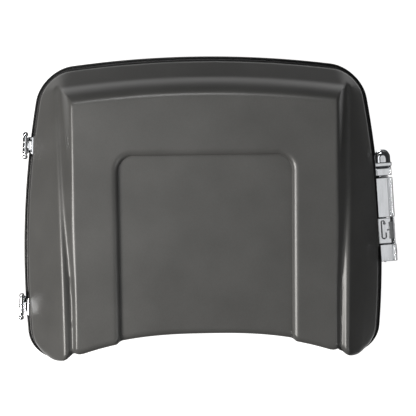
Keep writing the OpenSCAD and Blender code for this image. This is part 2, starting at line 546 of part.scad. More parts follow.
module lid_liner() color("#4a4742") translate([0, 0, liner_z]) difference() {
    linear_extrude(liner_t) intersection() {
        polygon(outline(50));
        polygon([for (t = [-7:7]) let (x = t * (liner_half - 2) / 7) [x, front_edge(x) + 12],
            [liner_half, 0], [liner_half, lid_rear - 103.5], [liner_half - 78, lid_rear - 77.5],
            [78 - liner_half, lid_rear - 77.5], [-liner_half, lid_rear - 103.5], [-liner_half, 0]]);
    }
    for (c = clips) translate([c[0], c[1], -1]) cylinder(r = 3.4, h = liner_t + 2, $fn = hole_fn);
}
module liner_clips() color("#222222") for (c = clips) translate([c[0], c[1], 0]) {
    translate([0, 0, liner_z - 2]) cylinder(r = 8, h = 1.9, $fn = hole_fn);
    translate([0, 0, liner_z - 1]) cylinder(r = 3.2, h = liner_t + 2, $fn = hole_fn);
    translate([0, 0, liner_z + liner_t + 0.1])
        cylinder(r = 5.5, h = lid_height(c[0], c[1]) - lid_wall - liner_up - liner_t - 0.4,
            $fn = hole_fn);
}
module catch_plate() color("#d8dadc") at_latch() difference() {
    union() {
        block(0.6, latch_out - 8.5, catch_y[0], catch_y[1], top_z, top_z + 3);
        block(0.6, 3, catch_y[0], catch_y[1], lid_z + 0.3, top_z + 1);
    }
    for (y = catch_screw_y) translate([0, y, lid_z + 2.7]) rod_x(1.65, 20);
}
module catch_screws() color("#b9bbbd") at_latch() for (y = catch_screw_y)
    translate([3.05, y, lid_z + 2.7]) rotate([0, 0, 180]) {
        screw_x(15, r = 1.5, head = 2.2, head_h = 1.6);
        nut_x(12.2, r = 2.6, h = 1.9, bore = 1.5);
    }
module catch_backing() color("#77797b") at_latch() difference() {
    block(-9, -7.05, catch_y[0] - 3, catch_y[1] + 3, lid_z + 0.3, lid_z + 5.4);
    for (y = catch_screw_y) translate([-8, y, lid_z + 2.7]) rod_x(1.65, 20);
}
keeper_r = 1.1;                     // radius of the keeper's wire
hook_r = 3.7;                       // bend radius of its hook
eye_r = 2.6;                        // bend radius at its head
module keeper_spring() color("#e3e5e7") at_latch() translate([6.8, catch_y[0] + 12.5, top_z + 4.4]) {
    translate([0, 12.75, 0]) rod_y(keeper_r, 25.5, 24);
    translate([hook_r, 0, 0]) rotate([0, 0, 180]) rotate_extrude(angle = 180, $fn = 64)
        translate([hook_r, 0]) circle(r = keeper_r, $fn = 24);
    translate([2 * hook_r, 3, 0]) rod_y(keeper_r, 6, 24);
    translate([eye_r, 25.5, 0]) rotate_extrude(angle = 180, $fn = 64)
        translate([eye_r, 0]) circle(r = keeper_r, $fn = 24);
    translate([2 * eye_r, 24.75, 0]) rod_y(keeper_r, 1.5, 24);
    translate([2 * eye_r, 23, 1.1]) sphere(r = 2.3, $fn = 36);
    translate([10.8, 11.5, -1.35]) cylinder(r = 1.7, h = 1.4, $fn = 32);
}

// ---- latch: the handle and what turns with it ----
lug_y = [for (y = [latch_front + 6.2, lock_at[0] + 18, bar_y[0] + 1, latch_split - 10]) [y, y + 6]];
claw_y = [lock_at[0] + 25, lock_at[0] + 55];
rivet_at = [for (z = [lid_z - 20, lid_z - 6]) for (y = [claw_y[0] + 7, claw_y[1] - 7]) [y, z]];
handle_front = latch_front + 3;
front_block_y = lock_at[0] + 15;    // rear face of the block that holds the lock
block_back = latch_face + 4.1;      // how near the block's sides come to the housing
module latch_handle() color("#dcdee0") at_latch() difference() {
    union() {
        block(cover_x, latch_out - 1, handle_front, bar_y[1], hp[1] - 3, top_z - 2.6);
        for (y = lug_y) {
            translate([hp[0], (y[0] + y[1]) / 2, hp[1]]) rod_y(6.4, y[1] - y[0]);
            block(hp[0], cover_x + 1, y[0], y[1], hp[1] - 3, hp[1] + 6.4);
        }
        block(3, cover_x + 1, bar_y[0], bar_y[1], top_z - 6, top_z - 3);
        block(3, latch_out - 9, bar_y[0], bar_y[1], top_z - 3.1, top_z);
        block(cover_x, latch_out, bar_y[0], bar_y[1], top_z - 6, top_z);
        for (y = [handle_front, front_block_y - 2.5]) {
            block(block_back, cover_x + 1, y, y + 2.5, lock_at[1] - 7.5, top_z - 1);
            block(3, block_back + 0.4, y, y + 2.5, lid_z - 4.5, top_z - 1);
        }
        block(3, latch_out, handle_front, front_block_y, top_z - 3, top_z);
        block(cover_x, latch_out, handle_front, front_block_y, lock_at[1] - 15, top_z - 2);
    }
    for (y = lug_y) translate([hp[0], (y[0] + y[1]) / 2, hp[1]]) rod_y(handle_pin_r + running, 12);
    for (r = rivet_at) translate([cover_x, r[0], r[1]]) rod_x(1.85, 12);
    translate([cover_x, lock_at[0], lock_at[1]]) rod_x(plug_r + 2.1, 12);
}
module handle_claw() color("#b4b6b8") at_latch() difference() {
    union() {
        block(cover_x - 3.05, cover_x - 0.05, claw_y[0], claw_y[1], lid_z - 26, top_z + 6);
        block(cover_x - 8.4, cover_x - 1, claw_y[0], claw_y[1], top_z + 3 + gap, top_z + 6);
    }
    for (r = rivet_at) translate([cover_x - 3, r[0], r[1]]) rod_x(1.85, 12);
}
module claw_rivets() color("#a7a9ab") at_latch() for (r = rivet_at) {
    translate([cover_x - 3.1 - 0.7, r[0], r[1]]) rod_x(3, 1.4);
    translate([cover_x, r[0], r[1]]) rod_x(1.8, 6.2);
    translate([latch_out - 0.45, r[0], r[1]]) rod_x(2.8, 1);
}
lock_back = latch_face + 5.9;       // rear end of the plug
module lock_barrel() color("#c9cbcd") at_latch() translate([0, lock_at[0], lock_at[1]]) difference() {
    union() {
        translate([(lock_back + latch_out + 0.3) / 2, 0, 0]) rod_x(plug_r + 2, latch_out - lock_back - 0.1);
        translate([latch_out + 0.65, 0, 0]) rod_x(plug_r + 3.6, 1.2);
    }
    translate([24, 0, 0]) rod_x(plug_r + running, 40);
}
module lock_plug() color("#8d8f91") at_latch() translate([0, lock_at[0], lock_at[1]]) difference() {
    union() {
        translate([(lock_back + latch_out + 1.6) / 2, 0, 0]) rod_x(plug_r, latch_out - lock_back + 1.6);
        block(lock_back - 1.7, lock_back + 0.6, -2, 2, -2, 2);
        translate([latch_out + 1.8, 0, 0]) rod_x(plug_r + 1.4, 0.9);
    }
    block(latch_out - 4, latch_out + 4, -0.6, 0.6, -3.6, 3.6);
}
module lock_cam() color("#9a9c9e") at_latch()
        translate([lock_back - 1.7, lock_at[0], lock_at[1]]) difference() {
    union() {
        rotate([0, 90, 0]) cylinder(r = 5, h = 1.6, $fn = hole_fn);
        block(0, 1.6, -11, 0, -3, 3);
    }
    block(-1, 3, -2.05, 2.05, -2.05, 2.05);
}

lower_shell();
mounting_plate();
floor_washers();
floor_mat();
rim_moulding();
lid_seal();
drain_grommets();
hinge_body_leaf_front();
hinge_body_leaf_rear();
hinge_pin_front();
hinge_pin_rear();
hinge_body_screws();
hinge_body_backing();
latch_spacer();
latch_housing();
latch_end_cap();
latch_screws();
latch_backing();
handle_pin();
handle_springs();
tether_body_anchor();
lid_shell();
lid_liner();
liner_clips();
hinge_lid_leaf_front();
hinge_lid_leaf_rear();
hinge_lid_screws();
hinge_lid_backing();
catch_plate();
catch_screws();
catch_backing();
keeper_spring();
tether_lid_anchor();
latch_handle();
handle_claw();
claw_rivets();
lock_barrel();
lock_plug();
lock_cam();
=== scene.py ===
import json
import math
import bmesh
import bpy
from mathutils import Matrix, Vector

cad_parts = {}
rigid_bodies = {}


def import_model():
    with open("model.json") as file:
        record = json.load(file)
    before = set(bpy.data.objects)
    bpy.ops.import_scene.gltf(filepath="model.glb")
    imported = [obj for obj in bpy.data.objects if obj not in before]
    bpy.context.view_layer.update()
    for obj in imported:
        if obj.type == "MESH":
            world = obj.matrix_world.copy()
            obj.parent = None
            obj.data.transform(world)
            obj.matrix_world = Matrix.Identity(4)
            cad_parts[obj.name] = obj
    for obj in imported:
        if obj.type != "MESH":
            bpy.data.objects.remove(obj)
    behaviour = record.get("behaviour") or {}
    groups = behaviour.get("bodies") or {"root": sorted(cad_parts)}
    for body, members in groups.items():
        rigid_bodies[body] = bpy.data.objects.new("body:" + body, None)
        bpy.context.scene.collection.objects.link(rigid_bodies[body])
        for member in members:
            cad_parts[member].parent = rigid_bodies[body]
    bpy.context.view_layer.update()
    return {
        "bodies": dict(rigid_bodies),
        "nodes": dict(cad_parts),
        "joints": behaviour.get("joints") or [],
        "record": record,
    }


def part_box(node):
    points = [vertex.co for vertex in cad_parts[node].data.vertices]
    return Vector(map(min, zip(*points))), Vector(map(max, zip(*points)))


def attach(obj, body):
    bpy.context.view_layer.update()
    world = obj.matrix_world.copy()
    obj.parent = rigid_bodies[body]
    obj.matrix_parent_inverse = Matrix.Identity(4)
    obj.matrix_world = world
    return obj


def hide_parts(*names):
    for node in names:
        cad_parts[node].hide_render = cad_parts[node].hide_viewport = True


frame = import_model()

scene = bpy.context.scene
mm = 0.001


# plan and height of the trunk, in millimetres
shell = {
    "half": 306, "rear": 253.5, "front": 210, "lobe": 255, "rearBow": 1760, "sideBow": 1585,
    "widestY": -100,
    "rearCorner": 42, "frontCorner": 40, "rise": 106, "flatHalf": 219, "flatFall": 8, "lip": 8,
    "ridgeFall": 45, "grooveDeep": 6, "wall": 3.5,
}
recess = {"half": 146, "rear": 95, "depth": 10, "corner": 25, "roll": 12}


def clamp01(t):
    return min(max(t, 0.0), 1.0)


def ease(t):
    t = clamp01(t)
    return t * t * (3 - 2 * t)


def blendMin(a, b, k):
    h = max(k - abs(a - b), 0) / k
    return min(a, b) - h * h * k / 4


def blendMax(a, b, k):
    return -blendMin(-a, -b, k)


def rounded(d1, d2, r):
    # distance inside two edges that meet at a corner of radius r
    a, b = max(r - d1, 0), max(r - d2, 0)
    return r - math.hypot(a, b) if a > 0 or b > 0 else min(d1, d2)


def rearEdge(x):
    return shell["rear"] - x * x / (2 * shell["rearBow"])


def sideEdge(y):
    return shell["half"] - (y - shell["widestY"]) ** 2 / (2 * shell["sideBow"])


def frontEdge(x):
    a = abs(x)
    scoop = 27.6 * (a / 213) ** 2.6 + 3.5 * ease((a - recess["half"]) / 8)
    notch = 6 * math.exp(-((a - 227) / 9) ** 2)
    return -shell["front"] - blendMin(scoop, shell["lobe"] - shell["front"], 6) + notch


def inside(x, y):
    side = sideEdge(y) - abs(x)
    if y > 0:
        return rounded(rearEdge(x) - y, side, shell["rearCorner"])
    return rounded(y - frontEdge(x), side, shell["frontCorner"])


def edgePoint(x, y, inset=0.0):
    # where the ray from the origin through x, y comes within inset of the edge
    low, high = 0.0, 700 / math.hypot(x, y)
    for _ in range(26):
        middle = (low + high) / 2
        if inside(x * middle, y * middle) > inset:
            low = middle
        else:
            high = middle
    return x * low, y * low


def flatTop(y):
    return shell["rise"] - shell["flatFall"] * clamp01((200 - y) / 440)


def ridgeX(y):
    return shell["flatHalf"] + 19.5 + 11.5 * (max(y + 240, 0) / 410) ** 2


def ridgeHeight(y):
    return shell["rise"] - 11 - shell["ridgeFall"] * (max(y + 170, 0) / 340) ** 2.2


def cheekShare(t):
    return (math.sqrt(t * t + 0.0064) - 0.08) / (math.sqrt(1.0064) - 0.08) - 0.1 * t * (1 - t)


def sideHeight(x, y):
    a, top, ridge = abs(x), flatTop(y), ridgeX(y)
    grooveShare = ease((20 - y) / 180)
    valley = ridge - 2 - 8 * grooveShare
    ridgeH = ridgeHeight(y)
    valleyH = ridgeH - shell["grooveDeep"] * grooveShare
    if a < shell["flatHalf"]:
        return top
    if a < valley:
        return top - (top - valleyH) * ease((a - shell["flatHalf"]) / (valley - shell["flatHalf"]))
    if a < ridge:
        return valleyH + (ridgeH - valleyH) * ease((a - valley) / (ridge - valley))
    return ridgeH - (ridgeH - shell["lip"]) * cheekShare((a - ridge) / (sideEdge(y) - ridge))


def rearHeight(x, y):
    d = rounded(rearEdge(x) - y, sideEdge(y) - abs(x), shell["rearCorner"])
    return blendMin(blendMax(shell["lip"] + 1.64 * d, 3 * (d - 10), 4), flatTop(y), 50)


def frontDrop(x, y, height):
    r = min(12, 0.35 * (height - shell["lip"]))
    d = rounded(y - frontEdge(x), sideEdge(y) - abs(x), shell["frontCorner"])
    if r < 0.01 or d >= r:
        return 0.0
    return r - math.sqrt(max(r * r - (r - max(d, 0)) ** 2, 0))


def recessDrop(x, y):
    q = rounded(recess["half"] - abs(x), recess["rear"] - y, recess["corner"])
    roll = recess["roll"]
    if q >= 0:
        return recess["depth"]
    if q <= -roll:
        return 0.0
    return recess["depth"] * (1 - math.sqrt(1 - ((q + roll) / roll) ** 2))


def lidHeight(x, y):
    height = blendMin(sideHeight(x, y), rearHeight(x, y), 5)
    return height - (frontDrop(x, y, height) if y < 0 else 0) - recessDrop(x, y)


# making and finishing pieces
def hexColour(code):
    # sRGB hex to the linear colour that the shaders use
    parts = [int(code[i:i + 2], 16) / 255 for i in (1, 3, 5)]
    return [c / 12.92 if c <= 0.04045 else ((c + 0.055) / 1.055) ** 2.4 for c in parts] + [1]


def addNode(tree, kind, settings=None, inputs=None, links=None):
    node = tree.nodes.new(kind)
    for name, value in (settings or {}).items():
        setattr(node, name, value)
    for name, value in (inputs or {}).items():
        node.inputs[name].default_value = value
    for name, (source, output) in (links or {}).items():
        tree.links.new(source.outputs[output], node.inputs[name])
    return node


def finishPiece(name, bm, material, body, nodes=(), sharp=38, weighted=True):
    mesh = bpy.data.meshes.new(name)
    bm.to_mesh(mesh)
    bm.free()
    mesh.materials.append(material)
    mesh.polygons.foreach_set("use_smooth", [True] * len(mesh.polygons))
    mesh.set_sharp_from_angle(angle=math.radians(sharp))
    piece = bpy.data.objects.new(name, mesh)
    scene.collection.objects.link(piece)
    if weighted:
        even = piece.modifiers.new("evenShading", "WEIGHTED_NORMAL")
        even.keep_sharp = True
    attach(piece, body)
    if nodes:
        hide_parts(*nodes)
    return piece


def growRing(bm, ring, place):
    # extrudes a closed ring of vertices and puts the new ones where place(index) says, in millimetres
    count = len(ring)
    edges = [bm.edges.get((ring[i], ring[(i + 1) % count])) for i in range(count)]
    made = set(bmesh.ops.extrude_edge_only(bm, edges=edges)["geom"])
    grown = []
    for i, vert in enumerate(ring):
        fresh = next(e.other_vert(vert) for e in vert.link_edges if e.other_vert(vert) in made)
        fresh.co = Vector(place(i)) * mm
        grown.append(fresh)
    return grown


def startRing(bm, points):
    bmesh.ops.create_circle(bm, segments=len(points), radius=1)
    ring = sorted(bm.verts, key=lambda v: math.atan2(v.co.y, v.co.x))
    for vert, point in zip(ring, points):
        vert.co = Vector(point) * mm
    return ring


def closeProfile(bm):
    bmesh.ops.remove_doubles(bm, verts=bm.verts, dist=1e-6)
    bmesh.ops.recalc_face_normals(bm, faces=bm.faces)


def smoothPath(points, steps):
    # a rounder line through the same points
    path = []
    for i in range(len(points) - 1):
        p0, p1 = points[max(i - 1, 0)], points[i]
        p2, p3 = points[i + 1], points[min(i + 2, len(points) - 1)]
        for s in range(steps):
            t = s / steps
            path.append([0.5 * (2 * b + (c - a) * t + (2 * a - 5 * b + 4 * c - d) * t * t
                                + (3 * b - a - 3 * c + d) * t ** 3) for a, b, c, d in zip(p0, p1, p2, p3)])
    return path + [list(points[-1])]


def rimAngles(spacing=4.0):
    # directions from the origin that step evenly along the edge, finer where it turns
    fine = [edgePoint(math.cos(a), math.sin(a)) for a in (math.radians(-180 + i * 0.2)
                                                          for i in range(1801))]
    chosen, walked = [], spacing
    for i in range(1800):
        walked += math.dist(fine[i], fine[i + 1])
        if walked >= spacing:
            chosen.append(math.radians(-180 + i * 0.2))
            walked = 0
    return chosen


edgeAngles = rimAngles()


def outline(inset):
    return [edgePoint(math.cos(a), math.sin(a), inset) for a in edgeAngles]


def band(profile):
    # a closed ring round the trunk, from its section's points (inset, height), which end where they start
    bm = bmesh.new()
    loops = [[(x, y, z) for x, y in outline(e)] for e, z in profile]
    ring = startRing(bm, loops[0])
    for loop in loops[1:]:
        ring = growRing(bm, ring, lambda i, loop=loop: loop[i])
    closeProfile(bm)
    return bm


def addBlock(bm, place, x0, x1, y0, y1, z0, z1, bevel=0.8, segments=3):
    made = bmesh.ops.create_cube(bm, size=1)["verts"]
    for v in made:
        v.co = Vector((x0 + (v.co.x + 0.5) * (x1 - x0), y0 + (v.co.y + 0.5) * (y1 - y0),
                       z0 + (v.co.z + 0.5) * (z1 - z0)))
    if bevel:
        edges = list(dict.fromkeys(e for v in made for e in v.link_edges))
        cut = bmesh.ops.bevel(bm, geom=edges, offset=bevel, offset_type="OFFSET", affect="EDGES",
                              segments=segments, profile=0.5, material=-1, clamp_overlap=True)
        corners = [v for f in cut["faces"] for v in f.verts] + [v for v in made if v.is_valid]
        made = list(dict.fromkeys(corners))
    moveTo(bm, made, place)
    return made


def moveTo(bm, verts, place):
    bmesh.ops.transform(bm, matrix=Matrix.Scale(mm, 4) @ place, verts=verts)


def addTurned(bm, place, profile, steps=48):
    # turns a profile of (radius, height) points about the local Z axis
    verts = [bm.verts.new((r, 0, h)) for r, h in profile]
    edges = [bm.edges.new(pair) for pair in zip(verts, verts[1:])]
    before = set(bm.verts) - set(verts)
    bmesh.ops.spin(bm, geom=verts + edges, cent=(0, 0, 0), axis=(0, 0, 1), angle=math.tau, steps=steps,
                   use_merge=True, use_duplicate=False)
    made = [v for v in bm.verts if v not in before]
    bmesh.ops.remove_doubles(bm, verts=made, dist=1e-4)
    made = [v for v in made if v.is_valid]
    bmesh.ops.recalc_face_normals(bm, faces=list(dict.fromkeys(f for v in made for f in v.link_faces)))
    moveTo(bm, made, place)
    return made


def rodProfile(r, h0, h1, chamfer=0.5):
    return [(0, h0), (r - chamfer, h0), (r, h0 + chamfer), (r, h1 - chamfer), (r - chamfer, h1), (0, h1)]


def arcPoints(cx, cy, r, a0, a1, n):
    turns = [math.radians(a0 + (a1 - a0) * i / n) for i in range(n + 1)]
    return [(cx + r * math.cos(a), cy + r * math.sin(a)) for a in turns]


alongX = Matrix.Rotation(math.pi / 2, 4, "Y")
alongY = Matrix.Rotation(-math.pi / 2, 4, "X")


def shift(x, y, z):
    return Matrix.Translation((x, y, z))


# camera, light and floor
view = {"distance": 2400, "fieldDeg": 17.3, "rearDeg": 4.7, "leftDeg": 2.2, "rollDeg": 0.66,
        "aim": (8, -2, 178)}


def setCamera():
    data = bpy.data.cameras.new("camera")
    data.sensor_width = 36
    data.lens = 18 / math.tan(math.radians(view["fieldDeg"]) / 2)
    camera = bpy.data.objects.new("camera", data)
    scene.collection.objects.link(camera)
    aim = Vector(view["aim"]) * mm
    back = Vector((-math.sin(math.radians(view["leftDeg"])), math.sin(math.radians(view["rearDeg"])),
                   1)).normalized()
    up = Matrix.Rotation(math.radians(-view["rollDeg"]), 3, back) @ Vector((0, 1, 0))
    right = up.cross(back).normalized()
    up = back.cross(right)
    turn = Matrix((right, up, back)).transposed()
    camera.matrix_world = Matrix.Translation(aim + back * view["distance"] * mm) @ turn.to_4x4()
    data.clip_end = 20
    scene.camera = camera


lights = {
    "key": {"place": (-1.58, -0.42, 1.67), "size": 0.8, "power": 64, "colour": "#fffcf8"},
    "over": {"place": (-0.45, 0.1, 2.6), "size": 0.9, "power": 3.8, "colour": "#ffffff"},
    "rear": {"place": (-0.1, 1.36, 1.66), "size": 0.5, "power": 11, "colour": "#ffffff"},
    "fill": {"place": (1.3, -0.9, 1.3), "size": 0.8, "power": 6, "colour": "#ffffff"},
    "latchCard": {"place": (0.75, -0.2, 2.6), "size": 0.5, "power": 0.6, "colour": "#ffffff"},
}
studio = {"sky": 0.04, "floorGlow": 0.95, "glowEnd": (0.415, 0.5)}


def setLights():
    for name, spec in lights.items():
        data = bpy.data.lights.new(name, "AREA")
        data.shape = "SQUARE"
        data.size = spec["size"]
        data.energy = spec["power"]
        data.color = hexColour(spec["colour"])[:3]
        lamp = bpy.data.objects.new(name, data)
        lamp.location = spec["place"]
        toTrunk = Vector((0, 0, 0.2)) - Vector(spec["place"])
        lamp.rotation_euler = toTrunk.to_track_quat("-Z", "Y").to_euler()
        scene.collection.objects.link(lamp)
    world = bpy.data.worlds.new("studio")
    world.use_nodes = True
    background = world.node_tree.nodes["Background"]
    background.inputs["Color"].default_value = hexColour("#f2f4f7")
    background.inputs["Strength"].default_value = studio["sky"]
    scene.world = world


def makeFloor():
    # pale lit table: matt white card with a little light of its own, so that shadows stay soft
    bm = bmesh.new()
    bmesh.ops.create_grid(bm, x_segments=2, y_segments=2, size=6)
    mesh = bpy.data.meshes.new("floor")
    bm.to_mesh(mesh)
    bm.free()
    floor = bpy.data.objects.new("floor", mesh)
    scene.collection.objects.link(floor)
    card = bpy.data.materials.new("mattWhiteCard")
    card.use_nodes = True
    shader = card.node_tree.nodes["Principled BSDF"]
    shader.inputs["Roughness"].default_value = 0.9
    shader.inputs["Specular IOR Level"].default_value = 0.1
    shader.inputs["Emission Color"].default_value = (1, 1, 1, 1)
    # painted pool of light: the card glows round the trunk and its own colour is paler there, both fading out
    # beyond it, so that the steep sides don't mirror a bright room
    tree = card.node_tree
    here = addNode(tree, "ShaderNodeTexCoord")
    size = addNode(tree, "ShaderNodeVectorMath", {"operation": "ABSOLUTE"})
    tree.links.new(here.outputs["Object"], size.inputs[0])
    sides = addNode(tree, "ShaderNodeSeparateXYZ", links={"Vector": (size, "Vector")})
    reach = addNode(tree, "ShaderNodeMath", {"operation": "MAXIMUM"})
    tree.links.new(sides.outputs["X"], reach.inputs[0])
    tree.links.new(sides.outputs["Y"], reach.inputs[1])
    near, far = studio["glowEnd"]
    fade = addNode(tree, "ShaderNodeMapRange", {"interpolation_type": "SMOOTHSTEP"},
                   {"From Min": near, "From Max": far, "To Min": 1.0, "To Max": 0.0},
                   {"Value": (reach, "Value")})
    glow = addNode(tree, "ShaderNodeMath", {"operation": "MULTIPLY"})
    tree.links.new(fade.outputs["Result"], glow.inputs[0])
    glow.inputs[1].default_value = studio["floorGlow"]
    tree.links.new(glow.outputs["Value"], shader.inputs["Emission Strength"])
    # painted light pool: the card's base colour is paler near the trunk and darker grey beyond, following the
    # glow
    paintedPoolTone = addNode(tree, "ShaderNodeValToRGB", links={"Fac": (fade, "Result")})
    paintedPoolTone.color_ramp.elements[0].color = hexColour("#5a5a5a")
    paintedPoolTone.color_ramp.elements[1].color = hexColour("#9a9a9a")
    tree.links.new(paintedPoolTone.outputs["Color"], shader.inputs["Base Color"])
    mesh.materials.append(card)


setCamera()
setLights()
makeFloor()
scene.view_settings.view_transform = "Standard"
print("camera, lights and floor set")


# materials
def newMaterial(name, base, roughness, metallic=0.0, **sockets):
    material = bpy.data.materials.new(name)
    material.use_nodes = True
    shader = material.node_tree.nodes["Principled BSDF"]
    shader.inputs["Base Color"].default_value = hexColour(base)
    shader.inputs["Roughness"].default_value = roughness
    shader.inputs["Metallic"].default_value = metallic
    for socket, value in sockets.items():
        shader.inputs[socket.replace("_", " ")].default_value = value
    return material, material.node_tree, shader


def objectCoordinates(tree):
    return addNode(tree, "ShaderNodeTexCoord")


def satinPaintedAbs():
    # ABS moulding sprayed in satin charcoal: a soft sheen over faint orange peel, with very fine metal flake
    material, tree, shader = newMaterial("satinCharcoalPaintOnMouldedAbs", "#484847", 0.36, IOR=1.5)
    here = objectCoordinates(tree)
    cloud = addNode(tree, "ShaderNodeTexNoise", inputs={"Scale": 1 / 0.09, "Detail": 3},
                    links={"Vector": (here, "Object")})
    tint = addNode(tree, "ShaderNodeValToRGB", links={"Fac": (cloud, "Fac")})
    tint.color_ramp.elements[0].position, tint.color_ramp.elements[1].position = 0.3, 0.7
    tint.color_ramp.elements[0].color = hexColour("#444443")
    tint.color_ramp.elements[1].color = hexColour("#4c4c4b")
    # flake is really 0.05 mm; drawn at 1.2 mm so that it shows as a faint grain
    flake = addNode(tree, "ShaderNodeTexVoronoi", inputs={"Scale": 1 / 0.0012},
                    links={"Vector": (here, "Object")})
    spark = addNode(tree, "ShaderNodeMapRange",
                    inputs={"From Min": 0.0, "From Max": 1.0, "To Min": 0.92, "To Max": 1.08},
                    links={"Value": (flake, "Color")})
    both = addNode(tree, "ShaderNodeMix", {"data_type": "RGBA", "blend_type": "MULTIPLY"}, {"Factor": 1.0})
    tree.links.new(tint.outputs["Color"], both.inputs[6])
    tree.links.new(spark.outputs["Result"], both.inputs[7])
    tree.links.new(both.outputs[2], shader.inputs["Base Color"])
    sheen = addNode(tree, "ShaderNodeMapRange", inputs={"To Min": 0.33, "To Max": 0.4},
                    links={"Value": (cloud, "Fac")})
    tree.links.new(sheen.outputs["Result"], shader.inputs["Roughness"])
    # orange peel about 1.5 mm across
    peel = addNode(tree, "ShaderNodeTexNoise", inputs={"Scale": 1 / 0.0015, "Detail": 1},
                   links={"Vector": (here, "Object")})
    bump = addNode(tree, "ShaderNodeBump", inputs={"Strength": 0.06, "Distance": 0.0003},
                   links={"Height": (peel, "Fac")})
    tree.links.new(bump.outputs["Normal"], shader.inputs["Normal"])
    return material


def mouldedNylon():
    # black nylon moulding: deep black, with a fine spark-eroded grain off the tool
    material, tree, shader = newMaterial("mouldedBlackNylon", "#0b0b0b", 0.38, IOR=1.53)
    here = objectCoordinates(tree)
    grain = addNode(tree, "ShaderNodeTexNoise", inputs={"Scale": 1 / 0.0012, "Detail": 2},
                    links={"Vector": (here, "Object")})
    bump = addNode(tree, "ShaderNodeBump", inputs={"Strength": 0.15, "Distance": 0.0002},
                   links={"Height": (grain, "Fac")})
    tree.links.new(bump.outputs["Normal"], shader.inputs["Normal"])
    scuff = addNode(tree, "ShaderNodeTexNoise", inputs={"Scale": 1 / 0.05, "Detail": 4},
                    links={"Vector": (here, "Object")})
    dull = addNode(tree, "ShaderNodeMapRange", inputs={"To Min": 0.3, "To Max": 0.48},
                   links={"Value": (scuff, "Fac")})
    tree.links.new(dull.outputs["Result"], shader.inputs["Roughness"])
    return material


def chromePlate():
    # polished zinc casting, chrome-plated: mirror bright, with faint wiping marks in its gloss
    material, tree, shader = newMaterial("chromePlatedZincCasting", "#dfe1e4", 0.07, 1.0)
    here = objectCoordinates(tree)
    stretch = addNode(tree, "ShaderNodeMapping", links={"Vector": (here, "Object")})
    stretch.inputs["Scale"].default_value = (1, 0.12, 1)
    wipe = addNode(tree, "ShaderNodeTexNoise", inputs={"Scale": 1 / 0.004, "Detail": 3},
                   links={"Vector": (stretch, "Vector")})
    gloss = addNode(tree, "ShaderNodeMapRange",
                    inputs={"From Min": 0.35, "From Max": 0.7, "To Min": 0.05, "To Max": 0.16},
                    links={"Value": (wipe, "Fac")})
    tree.links.new(gloss.outputs["Result"], shader.inputs["Roughness"])
    wave = addNode(tree, "ShaderNodeTexNoise", inputs={"Scale": 1 / 0.012, "Detail": 0},
                   links={"Vector": (here, "Object")})
    bump = addNode(tree, "ShaderNodeBump", inputs={"Strength": 0.05, "Distance": 0.0004},
                   links={"Height": (wave, "Fac")})
    tree.links.new(bump.outputs["Normal"], shader.inputs["Normal"])
    return material


def zincPlatedSteel():
    # pressed steel, bright zinc plated: greyer than chrome, with a cloudy spangle
    material, tree, shader = newMaterial("zincPlatedPressedSteel", "#a9abad", 0.36, 1.0)
    here = objectCoordinates(tree)
    spangle = addNode(tree, "ShaderNodeTexNoise", inputs={"Scale": 1 / 0.009, "Detail": 4},
                      links={"Vector": (here, "Object")})
    tint = addNode(tree, "ShaderNodeValToRGB", links={"Fac": (spangle, "Fac")})
    tint.color_ramp.elements[0].color = hexColour("#8e9092")
    tint.color_ramp.elements[1].color = hexColour("#bcbec0")
    tree.links.new(tint.outputs["Color"], shader.inputs["Base Color"])
    gloss = addNode(tree, "ShaderNodeMapRange", inputs={"To Min": 0.28, "To Max": 0.46},
                    links={"Value": (spangle, "Fac")})
    tree.links.new(gloss.outputs["Result"], shader.inputs["Roughness"])
    return material


def drawnSpringWire():
    # hard-drawn wire: bright, with fine lines along the wire
    material, tree, shader = newMaterial("drawnSpringWire", "#8f9194", 0.25, 1.0)
    here = objectCoordinates(tree)
    lines = addNode(tree, "ShaderNodeTexNoise", inputs={"Scale": 1 / 0.0008, "Detail": 2},
                    links={"Vector": (here, "Object")})
    gloss = addNode(tree, "ShaderNodeMapRange", inputs={"To Min": 0.18, "To Max": 0.36},
                    links={"Value": (lines, "Fac")})
    tree.links.new(gloss.outputs["Result"], shader.inputs["Roughness"])
    return material


def extrudedRubber(name, base):
    # extruded or moulded rubber: dead matt, slightly chalky, with a fine skin texture
    material, tree, shader = newMaterial(name, base, 0.75, IOR=1.52)
    here = objectCoordinates(tree)
    chalk = addNode(tree, "ShaderNodeTexNoise", inputs={"Scale": 1 / 0.02, "Detail": 5},
                    links={"Vector": (here, "Object")})
    dull = addNode(tree, "ShaderNodeMapRange", inputs={"To Min": 0.65, "To Max": 0.9},
                   links={"Value": (chalk, "Fac")})
    tree.links.new(dull.outputs["Result"], shader.inputs["Roughness"])
    skin = addNode(tree, "ShaderNodeTexNoise", inputs={"Scale": 1 / 0.001, "Detail": 2},
                   links={"Vector": (here, "Object")})
    bump = addNode(tree, "ShaderNodeBump", inputs={"Strength": 0.2, "Distance": 0.0003},
                   links={"Height": (skin, "Fac")})
    tree.links.new(bump.outputs["Normal"], shader.inputs["Normal"])
    return material


